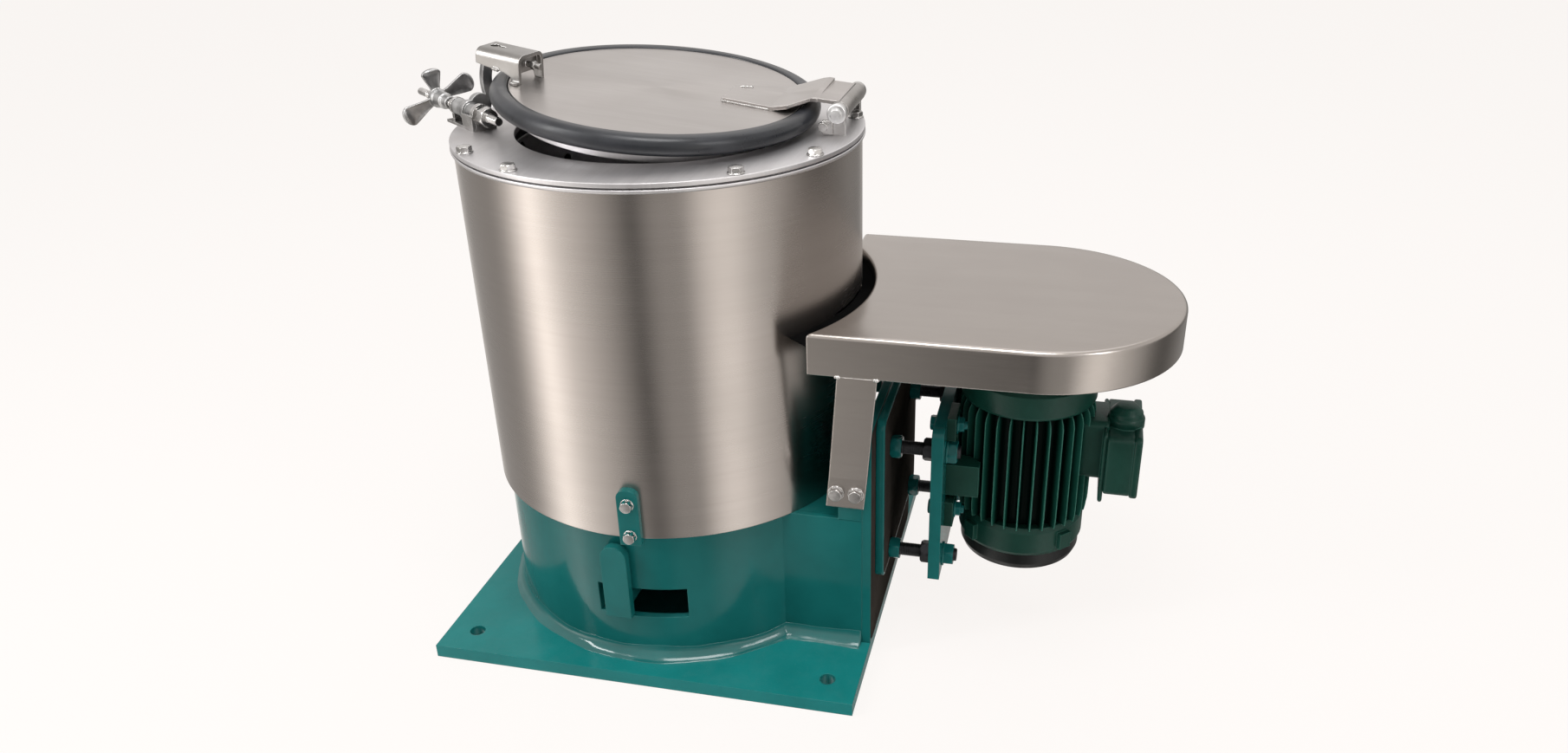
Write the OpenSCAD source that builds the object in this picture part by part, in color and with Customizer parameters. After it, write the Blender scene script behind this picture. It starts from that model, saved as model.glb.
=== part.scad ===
// Basket centrifuge: a stainless drum on a painted base, with a vertical
// belt drive on an adjustable plate, a belt guard, a hinged lid with a
// rubber rim, a screw latch and a brake lever.
// Origin: centre of the drum on the underside of the base plate.
// +X runs from the drum to the motor, +Z is up. All lengths are in mm.

/* [Base] */
// Base plate length along X
plate_len = 506; // [480:1:560]
// Base plate width along Y
plate_wid = 500; // [470:1:560]
// Base plate thickness
plate_t = 16; // [10:1:24]
// How far the plate's centre lies from the drum axis, along X
plate_shift = 14; // [0:1:20]
// Inset of the fixing holes from the plate's edges
hole_inset = 36; // [30:1:45]
// Diameter of the fixing holes
hole_d = 18; // [12:1:22]
// Outer radius of the round base
base_r = 217; // [205:1:219]
// Wall of the round base
base_wall = 8; // [6:0.5:12]
// Height of the round base above the plate
base_h = 171; // [150:1:190]
// Leg of the weld round the foot
weld = 8; // [4:0.5:10]

/* [Drum] */
// Outer radius of the drum shell
drum_r = 225; // [222:0.5:240]
// Wall of the drum shell
drum_wall = 3; // [2:0.5:5]
// Height of the drum shell
drum_h = 396; // [380:1:420]
// Thickness of the drum floor
floor_t = 6; // [4:1:10]
// Height of the belt opening above the drum floor's underside
belt_slot_z = 183; // [175:1:190]
// Outer radius of the top flange
flange_r = 229; // [227:0.5:245]
// Thickness of the top flange
flange_t = 5; // [4:0.5:8]
// Width of the shadow groove below the flange
groove = 2; // [1:0.5:3]
// Radius of the loading opening
mouth_r = 160; // [150:1:164]
// Pitch radius of the flange bolts
flange_bolt_pr = 219; // [216:0.5:222]
// Hexagon across corners of the flange bolts
flange_bolt_hex = 16; // [12:0.5:20]

/* [Basket] */
// Outer radius of the basket
basket_r = 190; // [170:1:205]
// Wall of the basket
basket_wall = 3; // [2:0.5:5]
// Height of the basket
basket_h = 140; // [120:1:145]
// Diameter of the basket holes
basket_hole = 10; // [6:0.5:14]
// Holes round the basket in each row
basket_n = 24; // [12:1:36]

/* [Lid] */
// How far the lid stands open at rest, degrees
lid_ajar = 5.8; // [4:0.2:9]
// How far the round of the lid leans to the front, degrees
lid_lean = 2.3; // [0:0.1:2.6]
// Radius of the lid plate
lid_r = 160; // [156:1:164]
// Thickness of the lid plate
lid_t = 5; // [3:0.5:8]
// Outer radius of the rubber rim
rim_r = 180; // [177:1:184]
// Height of the rubber rim
rim_h = 21; // [17:1:24]
// Radius of the locating ring under the lid
spigot_r = 154; // [140:1:156]
// Depth of the locating ring below the rubber rim
spigot_h = 7; // [3:1:12]
// Distance of the hinge axis from the drum axis
hinge_x = 205; // [200:1:210]
// Height of the hinge axis above the flange
hinge_up = 24; // [22:1:30]
// Length of the hinge barrel
barrel_len = 94; // [80:1:98]
// Radius of the hinge barrel
barrel_r = 10.5; // [9:0.5:12]
// Radius of the hinge pin
hinge_pin_r = 6; // [4:0.5:7]
// Width of the hinge strap's end on the lid
strap_w = 54; // [44:1:64]

/* [Latch] */
// Length of the U-shaped catch on the lid
catch_len = 62; // [56:1:70]
// Width of the catch
catch_w = 42; // [38:1:46]
// Height of the catch above the lid plate
catch_h = 30; // [27:1:36]
// Sheet thickness of the catch
catch_t = 4; // [3:0.5:5]
// Radius of the latch screw
screw_r = 5; // [4:0.5:6]
// Length of the latch screw
screw_len = 217; // [205:1:220]
// Length of the sleeve on the latch screw
sleeve_len = 52; // [40:1:54]
// Reach of the wing nut's longest wing from its axis
wing_r = 48; // [38:1:52]

/* [Brake] */
// Height of the slot's middle above the base plate
slot_z = 76; // [60:1:90]
// Height of the brake slot
slot_h = 28; // [22:1:36]
// Half angle of the brake slot
slot_half = 14; // [10:0.5:20]
// Length of the brake lever
lever_len = 95; // [70:1:98]
// Width of the brake lever
lever_w = 31; // [24:1:36]
// Thickness of the brake lever
lever_t = 10; // [8:0.5:12]

/* [Belt drive] */
// Height of the belt's middle
belt_z = 396; // [392:1:400]
// Pitch radius of the motor pulley
motor_pulley_r = 50; // [40:1:60]
// Pitch radius of the spindle pulley
spindle_pulley_r = 75; // [60:1:90]
// Width of the belt
belt_w = 11; // [9:0.5:13]
// Depth of the belt
belt_d = 9; // [8:0.5:11]

/* [Motor] */
// Height of the motor axis above its feet
motor_foot = 84.5; // [82:0.5:90]
// Radius of the motor barrel at the fin roots
barrel_root_r = 68; // [60:1:70]
// Radius of the motor over its fins
fin_r = 78; // [74:0.5:78.5]
// Height of the motor barrel
motor_h = 145; // [130:1:160]
// Height of the barrel's lower end above the base's underside
motor_z = 153; // [140:1:160]
// Number of cooling fins
fin_n = 32; // [20:1:44]
// Radius of the fan cowl
cowl_r = 71; // [66:0.5:76]

/* [Side box and plates] */
// Width of the side box along Y
box_w = 284; // [240:1:290]
// Wall of the side box
box_wall = 8; // [6:0.5:12]
// Height of the end plate
end_h = 284; // [270:1:300]
// Thickness of the end plate
end_t = 10; // [8:0.5:16]
// Clear gap between the end plate and the motor plate
plate_gap = 61; // [50:1:80]
// Thickness of the motor plate
mplate_t = 13.5; // [10:0.5:16]
// Height of the motor plate
mplate_h = 197; // [190:1:210]
// Width of the motor plate along Y
mplate_w = 212; // [200:1:280]
// Radius of the adjusting studs
stud_r = 8; // [6:0.5:10]
// Spacing of the adjusting studs along Y
stud_dy = 146; // [140:1:160]
// Spacing of the adjusting studs along Z
stud_dz = 140; // [126:1:150]

/* [Guard] */
// How far the belt guard stands out past the side box
guard_out = 18; // [14:1:24]
// Height of the belt guard
guard_h = 46; // [40:1:60]
// Height of the guard's top above the base's underside
guard_z = 420; // [416:1:424]
// Sheet thickness of the guard
guard_t = 2; // [1.5:0.5:3]
// Gap between the guard's cut-out and the drum
guard_gap = 7; // [5:1:12]
// Width of the guard's leg
leg_w = 43; // [34:1:50]

/* [Hidden] */
$fn = 64;
running = 0.3;                                  // radial clearance at pins
drum_z = plate_t + base_h;                      // underside of the drum
shell_top = drum_z + drum_h;
flange_z = shell_top + groove;
flange_top = flange_z + flange_t;
hinge_z = flange_top + hinge_up;
seat_z = flange_top + 1;                        // underside of the rim, lid shut
lid_top = seat_z + rim_h;
plate_top = lid_top - 2;                        // top face of the lid plate
guard_r = box_w / 2 + guard_out;                // half width of the belt guard
plate_x1 = plate_shift + plate_len / 2;         // motor side edge of the base
plate_x0 = plate_shift - plate_len / 2;
end_x = plate_x1 - end_t;                       // end plate's inner face
mplate_x = plate_x1 + plate_gap;                // motor plate's inner face
foot_x = mplate_x + mplate_t;                   // motor plate's outer face
mot_x = foot_x + motor_foot;                    // motor axis
mplate_z = drum_z - 94;                         // motor plate's lower edge
stud_z = mplate_z + 1.9 * stud_r;
box_x0 = sqrt(base_r * base_r - box_w * box_w / 4);
end_w = box_w;                                  // the end plate's edges are flush with the box
box_h = base_h;                                 // the box ends level with the round base
nut_h = 0.8 * 2 * stud_r;
latch_az = -37;                                 // direction of the latch screw
latch_up = 16;                                  // screw axis above the flange
latch_x = -200; latch_y = -49;
wing_x = -98;                                   // outer face of the wing nut along the screw
wing_hub = 40;                                  // length of the wing nut's hub
sleeve_x = -37;                                 // outer end of the sleeve along the screw
arm_h = 50;                                     // latch arm's top above its pivot
arm_x = -12;                                    // latch arm's place along the screw
barrel_y = -7;                                  // front end of the hinge barrel
spindle_r = 17;
housing_r = 48;                                 // spindle housing
boss_r = 90;                                    // raised boss on the drum floor
catch_x = -155.5; catch_y = -39; catch_az = -13;
lever_az = -92;                                 // lever at rest
clip_az = -86;
post_r = 20;                                    // post that the brake lever turns on

module ring(ro, ri, h) { difference() { cylinder(r = ro, h = h); translate([0, 0, -1]) cylinder(r = ri, h = h + 2); } }
module hexnut(d, h) { cylinder(d = d, h = h, $fn = 6); }
module block(x0, x1, y0, y1, z0, z1) { translate([x0, y0, z0]) cube([x1 - x0, y1 - y0, z1 - z0]); }

// ---- base ----
module base_plate() color("teal") {
  difference() {
    block(plate_x0, plate_x1, -plate_wid / 2, plate_wid / 2, 0, plate_t);
    for (x = [plate_x0 + hole_inset, plate_x1 - hole_inset], y = [-1, 1])
      translate([x, y * (plate_wid / 2 - hole_inset), -1]) cylinder(d = hole_d, h = plate_t + 2);
  }
}
// The round base: a tube with a weld at its foot and the slot
// that the brake lever's arm comes out of.
module base_housing() color("teal") {
  difference() {
    translate([0, 0, plate_t]) rotate_extrude() polygon([
      [base_r - base_wall, 0], [base_r + weld, 0], [base_r, weld],
      [base_r, base_h], [base_r - base_wall, base_h]]);
    slot_cut();
    side_cut();
  }
}
// The ring that closes the round base and carries the drum.
module base_top() color("teal") difference() {
  translate([0, 0, drum_z - base_wall]) ring(base_r - base_wall, base_r - 60, base_wall);
  side_cut();
}
module side_cut() translate([box_x0, -box_w / 2, plate_t - 1]) cube([base_r, box_w, box_h + 2]);
module slot_cut() {
  translate([0, 0, plate_t + slot_z - slot_h / 2]) intersection() {
    ring(base_r + 20, base_r - base_wall - 20, slot_h);
    rotate([0, 0, -86]) linear_extrude(slot_h) polygon([[0, 0],
      [400 * cos(slot_half), -400 * sin(slot_half)], [400 * cos(slot_half), 400 * sin(slot_half)]]);
  }
}
module side_box() color("teal") {
  for (s = [-1, 1]) mirror([0, s < 0 ? 1 : 0, 0]) {
    translate([0, box_w / 2, 0]) rotate([90, 0, 0]) linear_extrude(box_wall) polygon([
      [box_x0, plate_t], [end_x, plate_t], [end_x, plate_t + end_h - 14],
      [end_x - leg_w - 2, plate_t + end_h - 14], [end_x - leg_w - 2, plate_t + box_h],
      [box_x0, plate_t + box_h]]);
  }
  block(box_x0, end_x, -box_w / 2 + box_wall, box_w / 2 - box_wall, plate_t + box_h - box_wall, plate_t + box_h);
}
module end_plate() color("teal") difference() {
  translate([end_x, 0, plate_t]) rotate([90, 0, 90]) linear_extrude(end_t) rounded(end_w, end_h, 12);
  stud_places() rotate([0, 90, 0]) translate([0, 0, end_x - 1]) cylinder(r = stud_r + running, h = end_t + 2);
}
module rounded(w, h, r) {
  translate([-w / 2, 0]) square([w, h - r]);
  translate([-w / 2 + r, 0]) square([w - 2 * r, h]);
  for (s = [-1, 1]) translate([s * (w / 2 - r), h - r]) circle(r = r);
}
module stud_places() for (y = [-1, 1], z = [0, 1]) translate([0, y * stud_dy / 2, stud_z + z * stud_dz]) children();
module motor_plate() color("teal") difference() {
  translate([mplate_x, 0, mplate_z]) rotate([90, 0, 90]) linear_extrude(mplate_t) rounded(mplate_w, mplate_h, 12);
  stud_places() rotate([0, 90, 0]) translate([0, 0, mplate_x - 1]) cylinder(r = stud_r + running, h = mplate_t + 2);
  foot_places() rotate([0, 90, 0]) translate([0, 0, mplate_x - 1]) cylinder(r = 5 + running, h = mplate_t + 2);
}
module plate_studs() color("dimgray") stud_places() rotate([0, 90, 0])
  translate([0, 0, end_x - nut_h - 4]) cylinder(r = stud_r, h = foot_x + nut_h + 8 - end_x + nut_h);
module stud_nuts() color("teal") stud_places() rotate([0, 90, 0])
  for (x = [end_x - nut_h, plate_x1, foot_x]) translate([0, 0, x]) stud_nut();
module lock_nuts() color("dimgray") stud_places() rotate([0, 90, 0]) translate([0, 0, mplate_x - nut_h]) stud_nut();
module stud_nut() difference() {
  hexnut(3.4 * stud_r, nut_h);
  translate([0, 0, -1]) cylinder(r = stud_r, h = nut_h + 2);
}
// ---- motor ----
foot_y = 62.5;                                  // motor feet and their bolts
foot_dz = 112;
module foot_places() for (y = [-1, 1], z = [0, 1]) translate([0, y * foot_y, motor_z + 13 + z * foot_dz]) children();
module motor_body() color("darkgreen") translate([mot_x, 0, motor_z]) {
  cylinder(r = barrel_root_r, h = motor_h);
  intersection() {
    for (i = [0 : fin_n - 1]) rotate([0, 0, i * 360 / fin_n]) translate([barrel_root_r - 4, -1.5, 0]) cube([fin_r - barrel_root_r + 4, 3, motor_h]);
    cylinder(r = fin_r, h = motor_h);
  }
}
// A web beside the barrel with two bolt pads and one lug on each side.
module motor_feet() color("darkgreen") difference() {
  for (s = [-1, 1]) mirror([0, s < 0 ? 1 : 0, 0]) {
    block(foot_x, foot_x + 10, foot_y - 26, foot_y - 6, motor_z - 3, motor_z + foot_dz + 27);
    block(foot_x, foot_x + 10, foot_y - 16, foot_y + 15, motor_z - 3, motor_z + 29);
    block(foot_x, foot_x + 10, foot_y - 16, foot_y + 15, motor_z + foot_dz - 1, motor_z + foot_dz + 27);
    block(foot_x, foot_x + 38, foot_y - 12, foot_y + 13, motor_z + 39, motor_z + 79);
  }
  translate([mot_x, 0, motor_z - 5]) cylinder(r = fin_r + 0.2, h = motor_h + 10);
  foot_places() rotate([0, 90, 0]) translate([0, 0, foot_x - 1]) cylinder(r = 5 + running, h = 12);
}
module foot_bolts() color("teal") foot_places() rotate([0, 90, 0]) {
  translate([0, 0, mplate_x - 7]) hexnut(18, 7);
  translate([0, 0, mplate_x]) cylinder(r = 5, h = mplate_t + 10);
  translate([0, 0, foot_x + 10]) hexnut(18, 8);
  translate([0, 0, foot_x + 18]) cylinder(r = 5, h = 4);
}
module motor_lower_shield() color("darkgreen") translate([mot_x, 0, motor_z - 36]) {
  rotate_extrude() polygon([[0, 0], [cowl_r + 1, 0], [cowl_r + 3, 4], [cowl_r + 3, 30], [cowl_r, 36], [0, 36]]);
  for (a = [45 : 90 : 315]) rotate([0, 0, a]) translate([cowl_r - 6, -8, 7]) cube([15, 16, 20]);
}
module fan_cowl() color("black") translate([mot_x, 0, motor_z - 60]) difference() {
  rotate_extrude() polygon([[0, 0], [cowl_r - 10, 0], [cowl_r - 3, 3], [cowl_r, 10], [cowl_r, 24], [0, 24]]);
  for (r = [14 : 12 : 50]) translate([0, 0, -1]) ring(r + 3, r - 3, 4);
}
module motor_upper_shield() color("darkgreen") translate([mot_x, 0, motor_z + motor_h])
  rotate_extrude() polygon([[0, 0], [fin_r - 2, 0], [fin_r, 3], [fin_r, 28], [fin_r - 6, 34], [40, 38], [24, 44], [0, 44]]);
module terminal_box() color("darkgreen") {
  difference() {
    block(mot_x + fin_r - 14, mot_x + fin_r + 16, -40, 40, motor_z + 52, motor_z + 126);
    translate([mot_x, 0, motor_z]) cylinder(r = fin_r + 0.1, h = motor_h);
  }
  translate([mot_x + fin_r + 16, 52, 0]) rotate([90, 0, 0]) linear_extrude(104) polygon([
    [0, motor_z + 44], [37, motor_z + 44], [37, motor_z + 112], [29, motor_z + 120], [0, motor_z + 120]]);
  translate([mot_x + fin_r + 34, -10, motor_z + 119]) rotate_extrude() polygon([
    [0, 0], [16, 0], [16, 16], [13, 21], [7, 24], [0, 24]]);
}
module motor_shaft() color("silver") translate([mot_x, 0, motor_z + motor_h + 44])
  cylinder(r = 9.5, h = guard_z - guard_t - 5 - (motor_z + motor_h + 44));

// ---- belt drive ----
// A pulley: a bored disc with a groove for the belt.
module pulley(r, bore) rotate_extrude() polygon([
  [bore, -12], [r + belt_d / 2, -12], [r + belt_d / 2, -belt_w / 2 - 0.3],
  [r - belt_d / 2 - 0.3, -belt_w / 2 - 0.3], [r - belt_d / 2 - 0.3, belt_w / 2 + 0.3],
  [r + belt_d / 2, belt_w / 2 + 0.3], [r + belt_d / 2, 12], [bore, 12]]);
module motor_pulley() color("gray") translate([mot_x, 0, belt_z]) pulley(motor_pulley_r, 9.5);
module spindle_pulley() color("gray") translate([0, 0, belt_z]) pulley(spindle_pulley_r, spindle_r);
// The belt: an arc on each pulley, in short chords, and two straight runs.
wrap = acos((spindle_pulley_r - motor_pulley_r) / mot_x);
module belt_outline(d) polygon(concat(
  [for (i = [0 : 24]) let (a = wrap + i * (360 - 2 * wrap) / 24) (spindle_pulley_r + d) * [cos(a), sin(a)]],
  [for (i = [0 : 24]) let (a = -wrap + i * 2 * wrap / 24) [mot_x, 0] + (motor_pulley_r + d) * [cos(a), sin(a)]]));
module drive_belt() color("black") translate([0, 0, belt_z - belt_w / 2]) linear_extrude(belt_w)
  difference() { belt_outline(belt_d / 2); belt_outline(-belt_d / 2); }
module spindle() color("silver") translate([0, 0, drum_z]) cylinder(r = spindle_r, h = basket_z + 20 - drum_z);
module spindle_housing() color("teal") translate([0, 0, drum_z + floor_t + 10]) rotate_extrude() polygon([
  [spindle_r + running, 0], [housing_r + 8, 0], [housing_r, 12], [housing_r, 170], [spindle_r + running, 170]]);

// ---- drum ----
basket_z = shell_top - basket_h - 12;
module basket() color("silver") translate([0, 0, basket_z]) difference() {
  rotate_extrude() polygon([
    [spindle_r, 0], [basket_r, 0], [basket_r, basket_h], [basket_r - 25, basket_h], [basket_r - 25, basket_h - basket_wall],
    [basket_r - basket_wall, basket_h - basket_wall], [basket_r - basket_wall, basket_wall], [60, basket_wall], [30, 40], [spindle_r, 40]]);
  for (z = [0 : 3], i = [0 : basket_n - 1]) rotate([0, 0, i * 360 / basket_n + (z % 2) * 180 / basket_n])
    translate([basket_r - basket_wall - 2, 0, 22 + z * (basket_h - 44) / 3]) rotate([0, 90, 0]) cylinder(d = basket_hole, h = basket_wall + 4);
}
module drum_shell() color("silver") difference() {
  translate([0, 0, drum_z]) ring(drum_r, drum_r - drum_wall, drum_h);
  translate([0, -guard_r + 24, drum_z + belt_slot_z]) cube([drum_r + 10, 2 * guard_r - 48, guard_h - 2]);
}
module drum_floor() color("silver") translate([0, 0, drum_z]) rotate_extrude() polygon([
  [spindle_r + running, 0], [drum_r - drum_wall, 0], [drum_r - drum_wall, floor_t], [boss_r, floor_t],
  [boss_r, floor_t + 10], [spindle_r + running, floor_t + 10]]);
module top_flange() color("lightgray") difference() {
  union() {
    translate([0, 0, shell_top]) ring(drum_r - drum_wall / 2, mouth_r, groove);
    translate([0, 0, flange_z]) ring(flange_r, mouth_r, flange_t);
  }
}
flange_bolt_az = [-137, -113, -51, -25, 18, 60, 100, 140];
module flange_bolts() color("silver") for (a = flange_bolt_az) rotate([0, 0, a]) translate([flange_bolt_pr, 0, flange_top]) {
  cylinder(d = flange_bolt_hex + 2, h = 1.2);
  hexnut(flange_bolt_hex, 7.5);
}
module clip_tab() color("teal") rotate([0, 0, clip_az]) translate([drum_r, 0, drum_z - 5]) rotate([90, 0, 90]) {
  linear_extrude(8) rounded(24, 70, 10);
  for (z = [12, 52]) translate([0, z, 8]) hexnut(14, 6);
}

// ---- lid ----
module on_lid() translate([hinge_x, 0, hinge_z]) rotate([0, lid_ajar, 0]) translate([-hinge_x, 0, -hinge_z]) children();
module on_round() on_lid() translate([0, 0, seat_z]) rotate([lid_lean, 0, 0]) translate([0, 0, -seat_z]) children();
module lid_plate() color("silver") on_round() translate([0, 0, plate_top - lid_t]) cylinder(r = lid_r, h = lid_t);
// The rubber rim: a round-edged ring with a step that the lid plate lies on.
module lid_rim() color("dimgray") on_round() translate([0, 0, seat_z]) rotate_extrude() difference() {
  union() {
    translate([rim_r - rim_h / 2, rim_h / 2]) circle(r = rim_h / 2);
    translate([lid_r - 6, 0]) square([rim_r - rim_h / 2 - lid_r + 6, rim_h]);
  }
  translate([lid_r - 7, rim_h - 2 - lid_t]) square([7, lid_t + 3]);
}
module lid_spigot() color("silver") on_round() translate([0, 0, seat_z - spigot_h]) ring(spigot_r, spigot_r - 4, spigot_h + rim_h - 2 - lid_t);
// The strap: narrow on the lid, wide at the hinge, cut as the meeting of its
// side view and its plan, and a straight part that the barrel is welded to.
strap_t = 4;
strap_x = hinge_x - 30;                         // where the strap is level again
module hinge_strap() color("silver") {
  on_round() intersection() {
    translate([0, 100, 0]) rotate([90, 0, 0]) linear_extrude(200) polygon([
      [hinge_x - 127, plate_top], [hinge_x - 70, plate_top], [strap_x, hinge_z + barrel_r - strap_t],
      [strap_x + 5, hinge_z + barrel_r - strap_t], [strap_x + 5, hinge_z + barrel_r],
      [strap_x - 1, hinge_z + barrel_r], [hinge_x - 71, plate_top + strap_t], [hinge_x - 127, plate_top + strap_t]]);
    linear_extrude(hinge_z + 2 * barrel_r) polygon([
      [hinge_x - 127, 10 - strap_w / 2], [hinge_x - 53, -strap_w / 2], [strap_x - 3, barrel_y], [hinge_x, barrel_y],
      [hinge_x, barrel_y + barrel_len - 5], [strap_x - 8, barrel_y + barrel_len - 5],
      [hinge_x - 60, 38 + strap_w / 2], [hinge_x - 127, 10 + strap_w / 2]]);
  }
  on_lid() difference() {
    block(strap_x - 1, hinge_x, barrel_y, barrel_y + barrel_len - 5, hinge_z + barrel_r - strap_t, hinge_z + barrel_r);
    translate([hinge_x, barrel_y - 1, hinge_z]) rotate([-90, 0, 0]) cylinder(r = barrel_r, h = barrel_len + 2);
  }
}
module hinge_barrel() color("silver") on_lid() translate([hinge_x, barrel_y, hinge_z]) rotate([-90, 0, 0])
  ring(barrel_r, hinge_pin_r + running, barrel_len);
// The cheeks that carry the pin, one at each end of the barrel.
module hinge_block() color("silver") difference() {
  for (y = [barrel_y - 8, barrel_y + barrel_len + 1]) translate([0, y + 7, 0]) rotate([90, 0, 0]) linear_extrude(7) union() {
    translate([hinge_x, hinge_z]) circle(r = barrel_r - 0.5);
    translate([hinge_x - 8, flange_top]) square([y < 0 ? 16 : 12, hinge_z - flange_top]);
  }
  translate([hinge_x, -100, hinge_z]) rotate([-90, 0, 0]) cylinder(r = hinge_pin_r, h = 300);
}
module hinge_pin() color("silver") translate([hinge_x, barrel_y - 8, hinge_z]) rotate([-90, 0, 0]) {
  cylinder(r = hinge_pin_r, h = barrel_len + 16);
  translate([0, 0, -7]) cylinder(r = barrel_r, h = 7);
}
// The catch: a channel that stands on two legs at the lid's edge, with a
// keyhole in its top and a rod through the web between its walls.
module lid_catch() color("silver") on_round() translate([catch_x, catch_y, plate_top]) rotate([0, 0, catch_az]) {
  for (s = [-1, 1]) mirror([0, s < 0 ? 1 : 0, 0])
    translate([0, catch_w / 2, 0]) rotate([90, 0, 0]) linear_extrude(catch_t) polygon([
      [-catch_len / 2, catch_h], [-catch_len / 2, catch_h / 2], [-18, catch_h / 2 - 2], [8, catch_h / 3], [17, 6], [19, 0],
      [catch_len / 2, 0], [catch_len / 2, catch_h]]);
  difference() {
    translate([-catch_len / 2, -catch_w / 2, catch_h - catch_t]) cube([catch_len, catch_w, catch_t]);
    translate([-20, 0, catch_h - catch_t - 1]) cylinder(r = 6, h = catch_t + 2);
    translate([-20, -2.5, catch_h - catch_t - 1]) cube([16, 5, catch_t + 2]);
  }
  translate([20, -catch_w / 2 + catch_t, 10]) cube([5, catch_w - 2 * catch_t, catch_h - catch_t - 10]);
  translate([-6, 0, 18]) rotate([0, 90, 0]) cylinder(r = 4.5, h = catch_len / 2 + 16);
  translate([10, 0, 18]) rotate([0, 90, 0]) cylinder(r = 3, h = catch_len / 2 + 6);
  translate([catch_len / 2 - 9, -catch_w / 2 - 5, 0]) cube([9, 6, 3]);
}

// ---- latch ----
module latch_frame() translate([latch_x, latch_y, flange_top + latch_up]) rotate([0, 0, latch_az]) children();
// The bracket: a foot plate, an ear at each end of the sleeve and a cheek
// that stands in front of the sleeve.
ear_x = sleeve_x + sleeve_len + 1;
module latch_bracket() color("silver") latch_frame() difference() {
  union() {
    block(sleeve_x - 6, ear_x + 7, -14, 14, -latch_up, -latch_up + 3);
    translate([sleeve_x - 6, 0, 0]) rotate([90, 0, 90]) linear_extrude(5) {
      circle(r = screw_r + 5); translate([-7, -latch_up]) square([14, latch_up]);
    }
    translate([ear_x, 0, 0]) rotate([90, 0, 90]) linear_extrude(7) {
      circle(r = screw_r + 7.5); translate([-10, -latch_up]) square([20, latch_up]);
    }
    block(ear_x - 18, ear_x + 7, -14, -11, -latch_up, 1);
  }
  translate([-100, 0, 0]) rotate([0, 90, 0]) cylinder(r = screw_r, h = 200);
}
module latch_screw() color("silver") latch_frame() {
  translate([wing_x - 44, 0, 0]) rotate([0, 90, 0]) cylinder(r = screw_r, h = screw_len);
  translate([ear_x + 7, 0, 0]) rotate([0, 90, 0]) hexnut(23, 16);
}
// The arm turns on the screw with its sleeve and reaches up behind the rim.
module latch_arm() color("silver") latch_frame() {
  rotate([0, 90, 0]) translate([0, 0, sleeve_x]) ring(screw_r + 4.5, screw_r + running, sleeve_len);
  translate([arm_x, 0, 0]) rotate([90, 0, 90]) linear_extrude(8) difference() {
    union() {
      circle(r = screw_r + 7);
      translate([12, 6]) circle(r = 12);
      intersection() {
        translate([73.4, 28]) difference() { circle(r = 56); circle(r = 45); }
        translate([10, 4]) square([34, arm_h - 4]);
      }
    }
    circle(r = screw_r + running);
  }
}
// The wing nut: a long hub with three rounded wings of its own at one end.
module wing(r) linear_extrude(7) {
  polygon([[8, -5], [r - 10, -9.5], [r - 10, 9.5], [8, 5]]);
  translate([r - 10, 0]) circle(r = 9.5);
}
module wing_nut() color("silver") latch_frame() translate([wing_x, 0, 0]) rotate([0, 90, 0]) difference() {
  union() {
    cylinder(r = screw_r + 6, h = wing_hub * 0.7);
    cylinder(r = screw_r + 2.5, h = wing_hub);
    for (w = [[188, wing_r - 14], [109, wing_r], [294, wing_r - 1]]) rotate([0, 0, w[0]]) wing(w[1]);
  }
  translate([0, 0, -1]) cylinder(r = screw_r + running, h = wing_hub + 2);
}

// ---- brake ----
module brake_lever() color("teal") rotate([0, 0, lever_az]) {
  translate([base_r + 5, 0, plate_t + slot_z - 12]) rotate([90, 0, 90]) linear_extrude(lever_t) rounded(lever_w, lever_len, lever_w / 2 - 0.5);
  difference() {
    union() {
      translate([0, -7, plate_t + slot_z - 8]) cube([base_r + 5, 14, 16]);
      translate([0, 0, plate_t + slot_z - 8]) cylinder(r = 34, h = 16);
    }
    translate([0, 0, plate_t]) cylinder(r = post_r + running, h = base_h);
  }
}
module brake_post() color("teal") translate([0, 0, plate_t]) {
  cylinder(r = post_r, h = slot_z + 12);
  cylinder(r = post_r + 10, h = slot_z - 8.3);
  translate([0, 0, slot_z + 8.3]) cylinder(r = post_r + 10, h = 6);
}

// ---- guard ----
cut_x = 12; cut_y = -22;                        // centre of the guard's round cut-out
module guard_outline(d) intersection() {
  union() {
    translate([end_x - 56 + d, -guard_r + d]) square([mot_x - end_x + 60 - d, 2 * (guard_r - d)]);
    translate([mot_x + 4, 0]) circle(r = guard_r - d);
  }
  difference() {
    translate([0, -400]) square([800, 800]);
    translate([cut_x, cut_y]) circle(r = drum_r + guard_gap + d);
    circle(r = drum_r + 4 + d);
  }
}
module belt_guard() color("silver") translate([0, 0, guard_z - guard_h]) difference() {
  linear_extrude(guard_h) guard_outline(0);
  translate([0, 0, -guard_t]) linear_extrude(guard_h) guard_outline(guard_t);
  translate([0, -guard_r + 24, -1]) cube([drum_r + 20, 2 * guard_r - 48, guard_h - guard_t]);
}
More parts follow.
